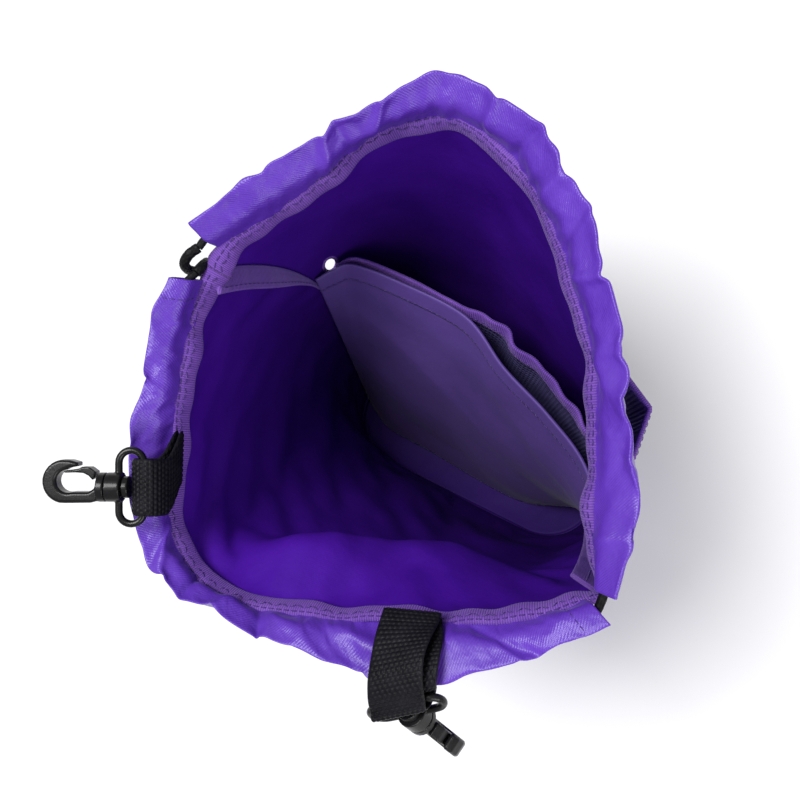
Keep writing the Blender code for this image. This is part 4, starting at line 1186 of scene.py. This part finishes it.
def build_strap(side, outline, seam, out, along, shift, splay, bar, bar_axis):
    """Webbing folded round the ring's bar, woven as geometry, both ends in the mouth seam."""
    steps, across = 330, 64
    line = smooth_curve(outline, steps)
    start = (np.array(outline[0], float) + np.array(outline[-1])) / 2
    reach = 0.75 * np.linalg.norm(np.array(bar) - start)
    ahead = unit(np.gradient(line, axis=0))
    side_way = np.column_stack([-ahead[:, 1], ahead[:, 0]])
    seam_axis = np.array([*along, 0.0])
    turned = np.array(bar_axis, float)
    if np.dot(seam_axis, turned) < 0:
        turned = -turned
    run = distance_run(line)
    half = STRAP_WIDTH / 2
    x = np.concatenate([np.linspace(-half, half, across), np.linspace(half, -half, across)])
    face = np.concatenate([np.ones(across), -np.ones(across)])
    edge = np.sqrt(np.clip(1 - (np.abs(x) / half) ** 14, 0.0, 1))
    rings = []
    for i in range(steps):
        mix = min(1.0, np.linalg.norm(line[i] - start) / reach)
        mix = mix * mix * (3 - 2 * mix)
        aside = shift * mix + splay * max(0.0, math.sin(2 * math.pi * i / (steps - 1)))
        width = seam_axis * (1 - mix) + turned * mix
        width /= np.linalg.norm(width)
        a, b = (x + half) / 1.82, run[i] / 1.55
        row = math.floor(b)
        wave = np.abs(np.sin(math.pi * (a + 0.5 * (row % 2)))) * math.sin(math.pi * (b - row))
        relief = 0.42 * wave ** 0.7 - 0.16
        thick = (STRAP_THICK / 2 + relief * edge) * np.maximum(edge, 0.25) * face
        flat = np.array(seam)[None, :] + np.outer(line[i, 0] + side_way[i, 0] * thick, out)
        flat = flat + np.array(along)[None, :] * aside
        ring = np.column_stack([flat, line[i, 1] + side_way[i, 1] * thick]) + x[:, None] * width
        rings.append(ring)
    made = tube(side + "_strap", rings, WEBBING)
    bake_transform(made)
    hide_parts(side + "_webbing_loop")


def moulded(name, cad_node, body, voxel=0.26, rounds=4):
    """A moulded plastic piece: the CAD shape with its edges softened."""
    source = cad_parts[cad_node]
    made = add_object(name, source.data.copy())
    remesh = made.modifiers.new("skin", "REMESH")
    remesh.mode = "VOXEL"
    remesh.voxel_size = voxel * MM
    remesh.use_smooth_shade = True
    soften = made.modifiers.new("soften", "SMOOTH")
    soften.factor = 0.5
    soften.iterations = rounds
    made.data.materials.clear()
    made.data.materials.append(PLASTIC)
    PIECES[name] = made
    return place_piece(made, (cad_node,), body)


def build_hooks():
    for side in ("left", "right"):
        moulded(side + "_swivel", side + "_ring", side + "_swivel_ring")
        moulded(side + "_snap", side + "_hook", side + "_snap_hook")
        moulded(side + "_spring_gate", side + "_hook_gate", side + "_gate", voxel=0.2, rounds=2)
    moulded("cord_lock_shell", "cord_lock_body", "cord_lock")
    moulded("cord_lock_push", "cord_lock_button", "lock_button")
    build_spring()


def build_spring():
    """A fine wire coil inside the lock, at its rest length; in the real lock it shortens as the button
    is pressed.
    """
    turn = np.linspace(0, 2 * math.pi * SPRING_TURNS, 120)
    x, y, z = SPRING_START
    path = np.column_stack([x + SPRING_LENGTH * turn / turn[-1], y + SPRING_RADIUS * np.cos(turn),
                            z + SPRING_RADIUS * np.sin(turn)])
    _, side, other = frames_along(path)
    around = np.linspace(0, 2 * math.pi, 12, endpoint=False)[None, :, None]
    wire = side[:, None] * np.cos(around) + other[:, None] * np.sin(around)
    made = tube("lock_spring_coil", path[:, None] + SPRING_WIRE * wire, STEEL)
    place_piece(made, ("cord_lock_spring",), "cord_lock")
    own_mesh(made)


# ---------------------------------------------------------------- camera, floor and light

def build_camera():
    lens = bpy.data.cameras.new("camera")
    lens.lens = CAMERA_LENS
    lens.sensor_width = 36
    lens.clip_start = 0.01
    right = Vector(CAMERA_RIGHT).normalized()
    up = Vector(CAMERA_UP)
    up = (up - right * right.dot(up)).normalized()
    turn = Matrix((right, up, right.cross(up))).transposed().to_4x4()
    camera = add_object("camera", lens)
    camera.matrix_world = Matrix.Translation(CAMERA_PLACE) @ turn
    bpy.context.scene.camera = camera


def area_light(name, place, target, size, power):
    lamp = bpy.data.lights.new(name, "AREA")
    lamp.size = size
    lamp.energy = power
    made = add_object(name, lamp)
    made.location = place
    made.rotation_euler = (Vector(target) - Vector(place)).to_track_quat("-Z", "Y").to_euler()


def build_studio():
    corners = [(-3, -3), (3, -3), (3, 3), (-3, 3)]
    floor = make_mesh("floor", [(x / MM, y / MM, -0.2) for x, y in corners], [(0, 1, 2, 3)],
                      None, [pale_floor("pale_floor")])
    middle = (0.0, -0.02, 0.15)
    area_light("key", (0.46, -0.02, 1.50), middle, 0.6, 20.0)
    area_light("low", (-0.95, 0.10, 0.80), middle, 0.6, 6.0)
    world = bpy.data.worlds.new("studio")
    world.use_nodes = True
    world.node_tree.nodes["Background"].inputs["Color"].default_value = (1, 1, 1, 1)
    world.node_tree.nodes["Background"].inputs["Strength"].default_value = 0.40
    bpy.context.scene.world = world
    bpy.context.scene.view_settings.view_transform = "Standard"


build_camera()
build_hooks()
build_tails()
build_walls()
build_base()
front_half = build_casing("front", MOUTH_FRONT, EDGE_FRONT, CASING_ENDS_FRONT, 11)
back_half = build_casing("back", MOUTH_BACK, EDGE_BACK, CASING_ENDS_BACK, 17)
casing_hems("front", front_half)
casing_hems("back", back_half)
build_drawcord(front_half, back_half)
build_tape()
build_fin("left_seam_tape", "left_seam_binding", 0, FIN_LEFT)
build_fin("right_seam_tape", "right_seam_binding", 2, FIN_RIGHT)
build_divider()
build_mesh_pocket()
build_front_pocket()
build_strap("left", **LEFT_STRAP)
build_strap("right", **RIGHT_STRAP)
build_studio()
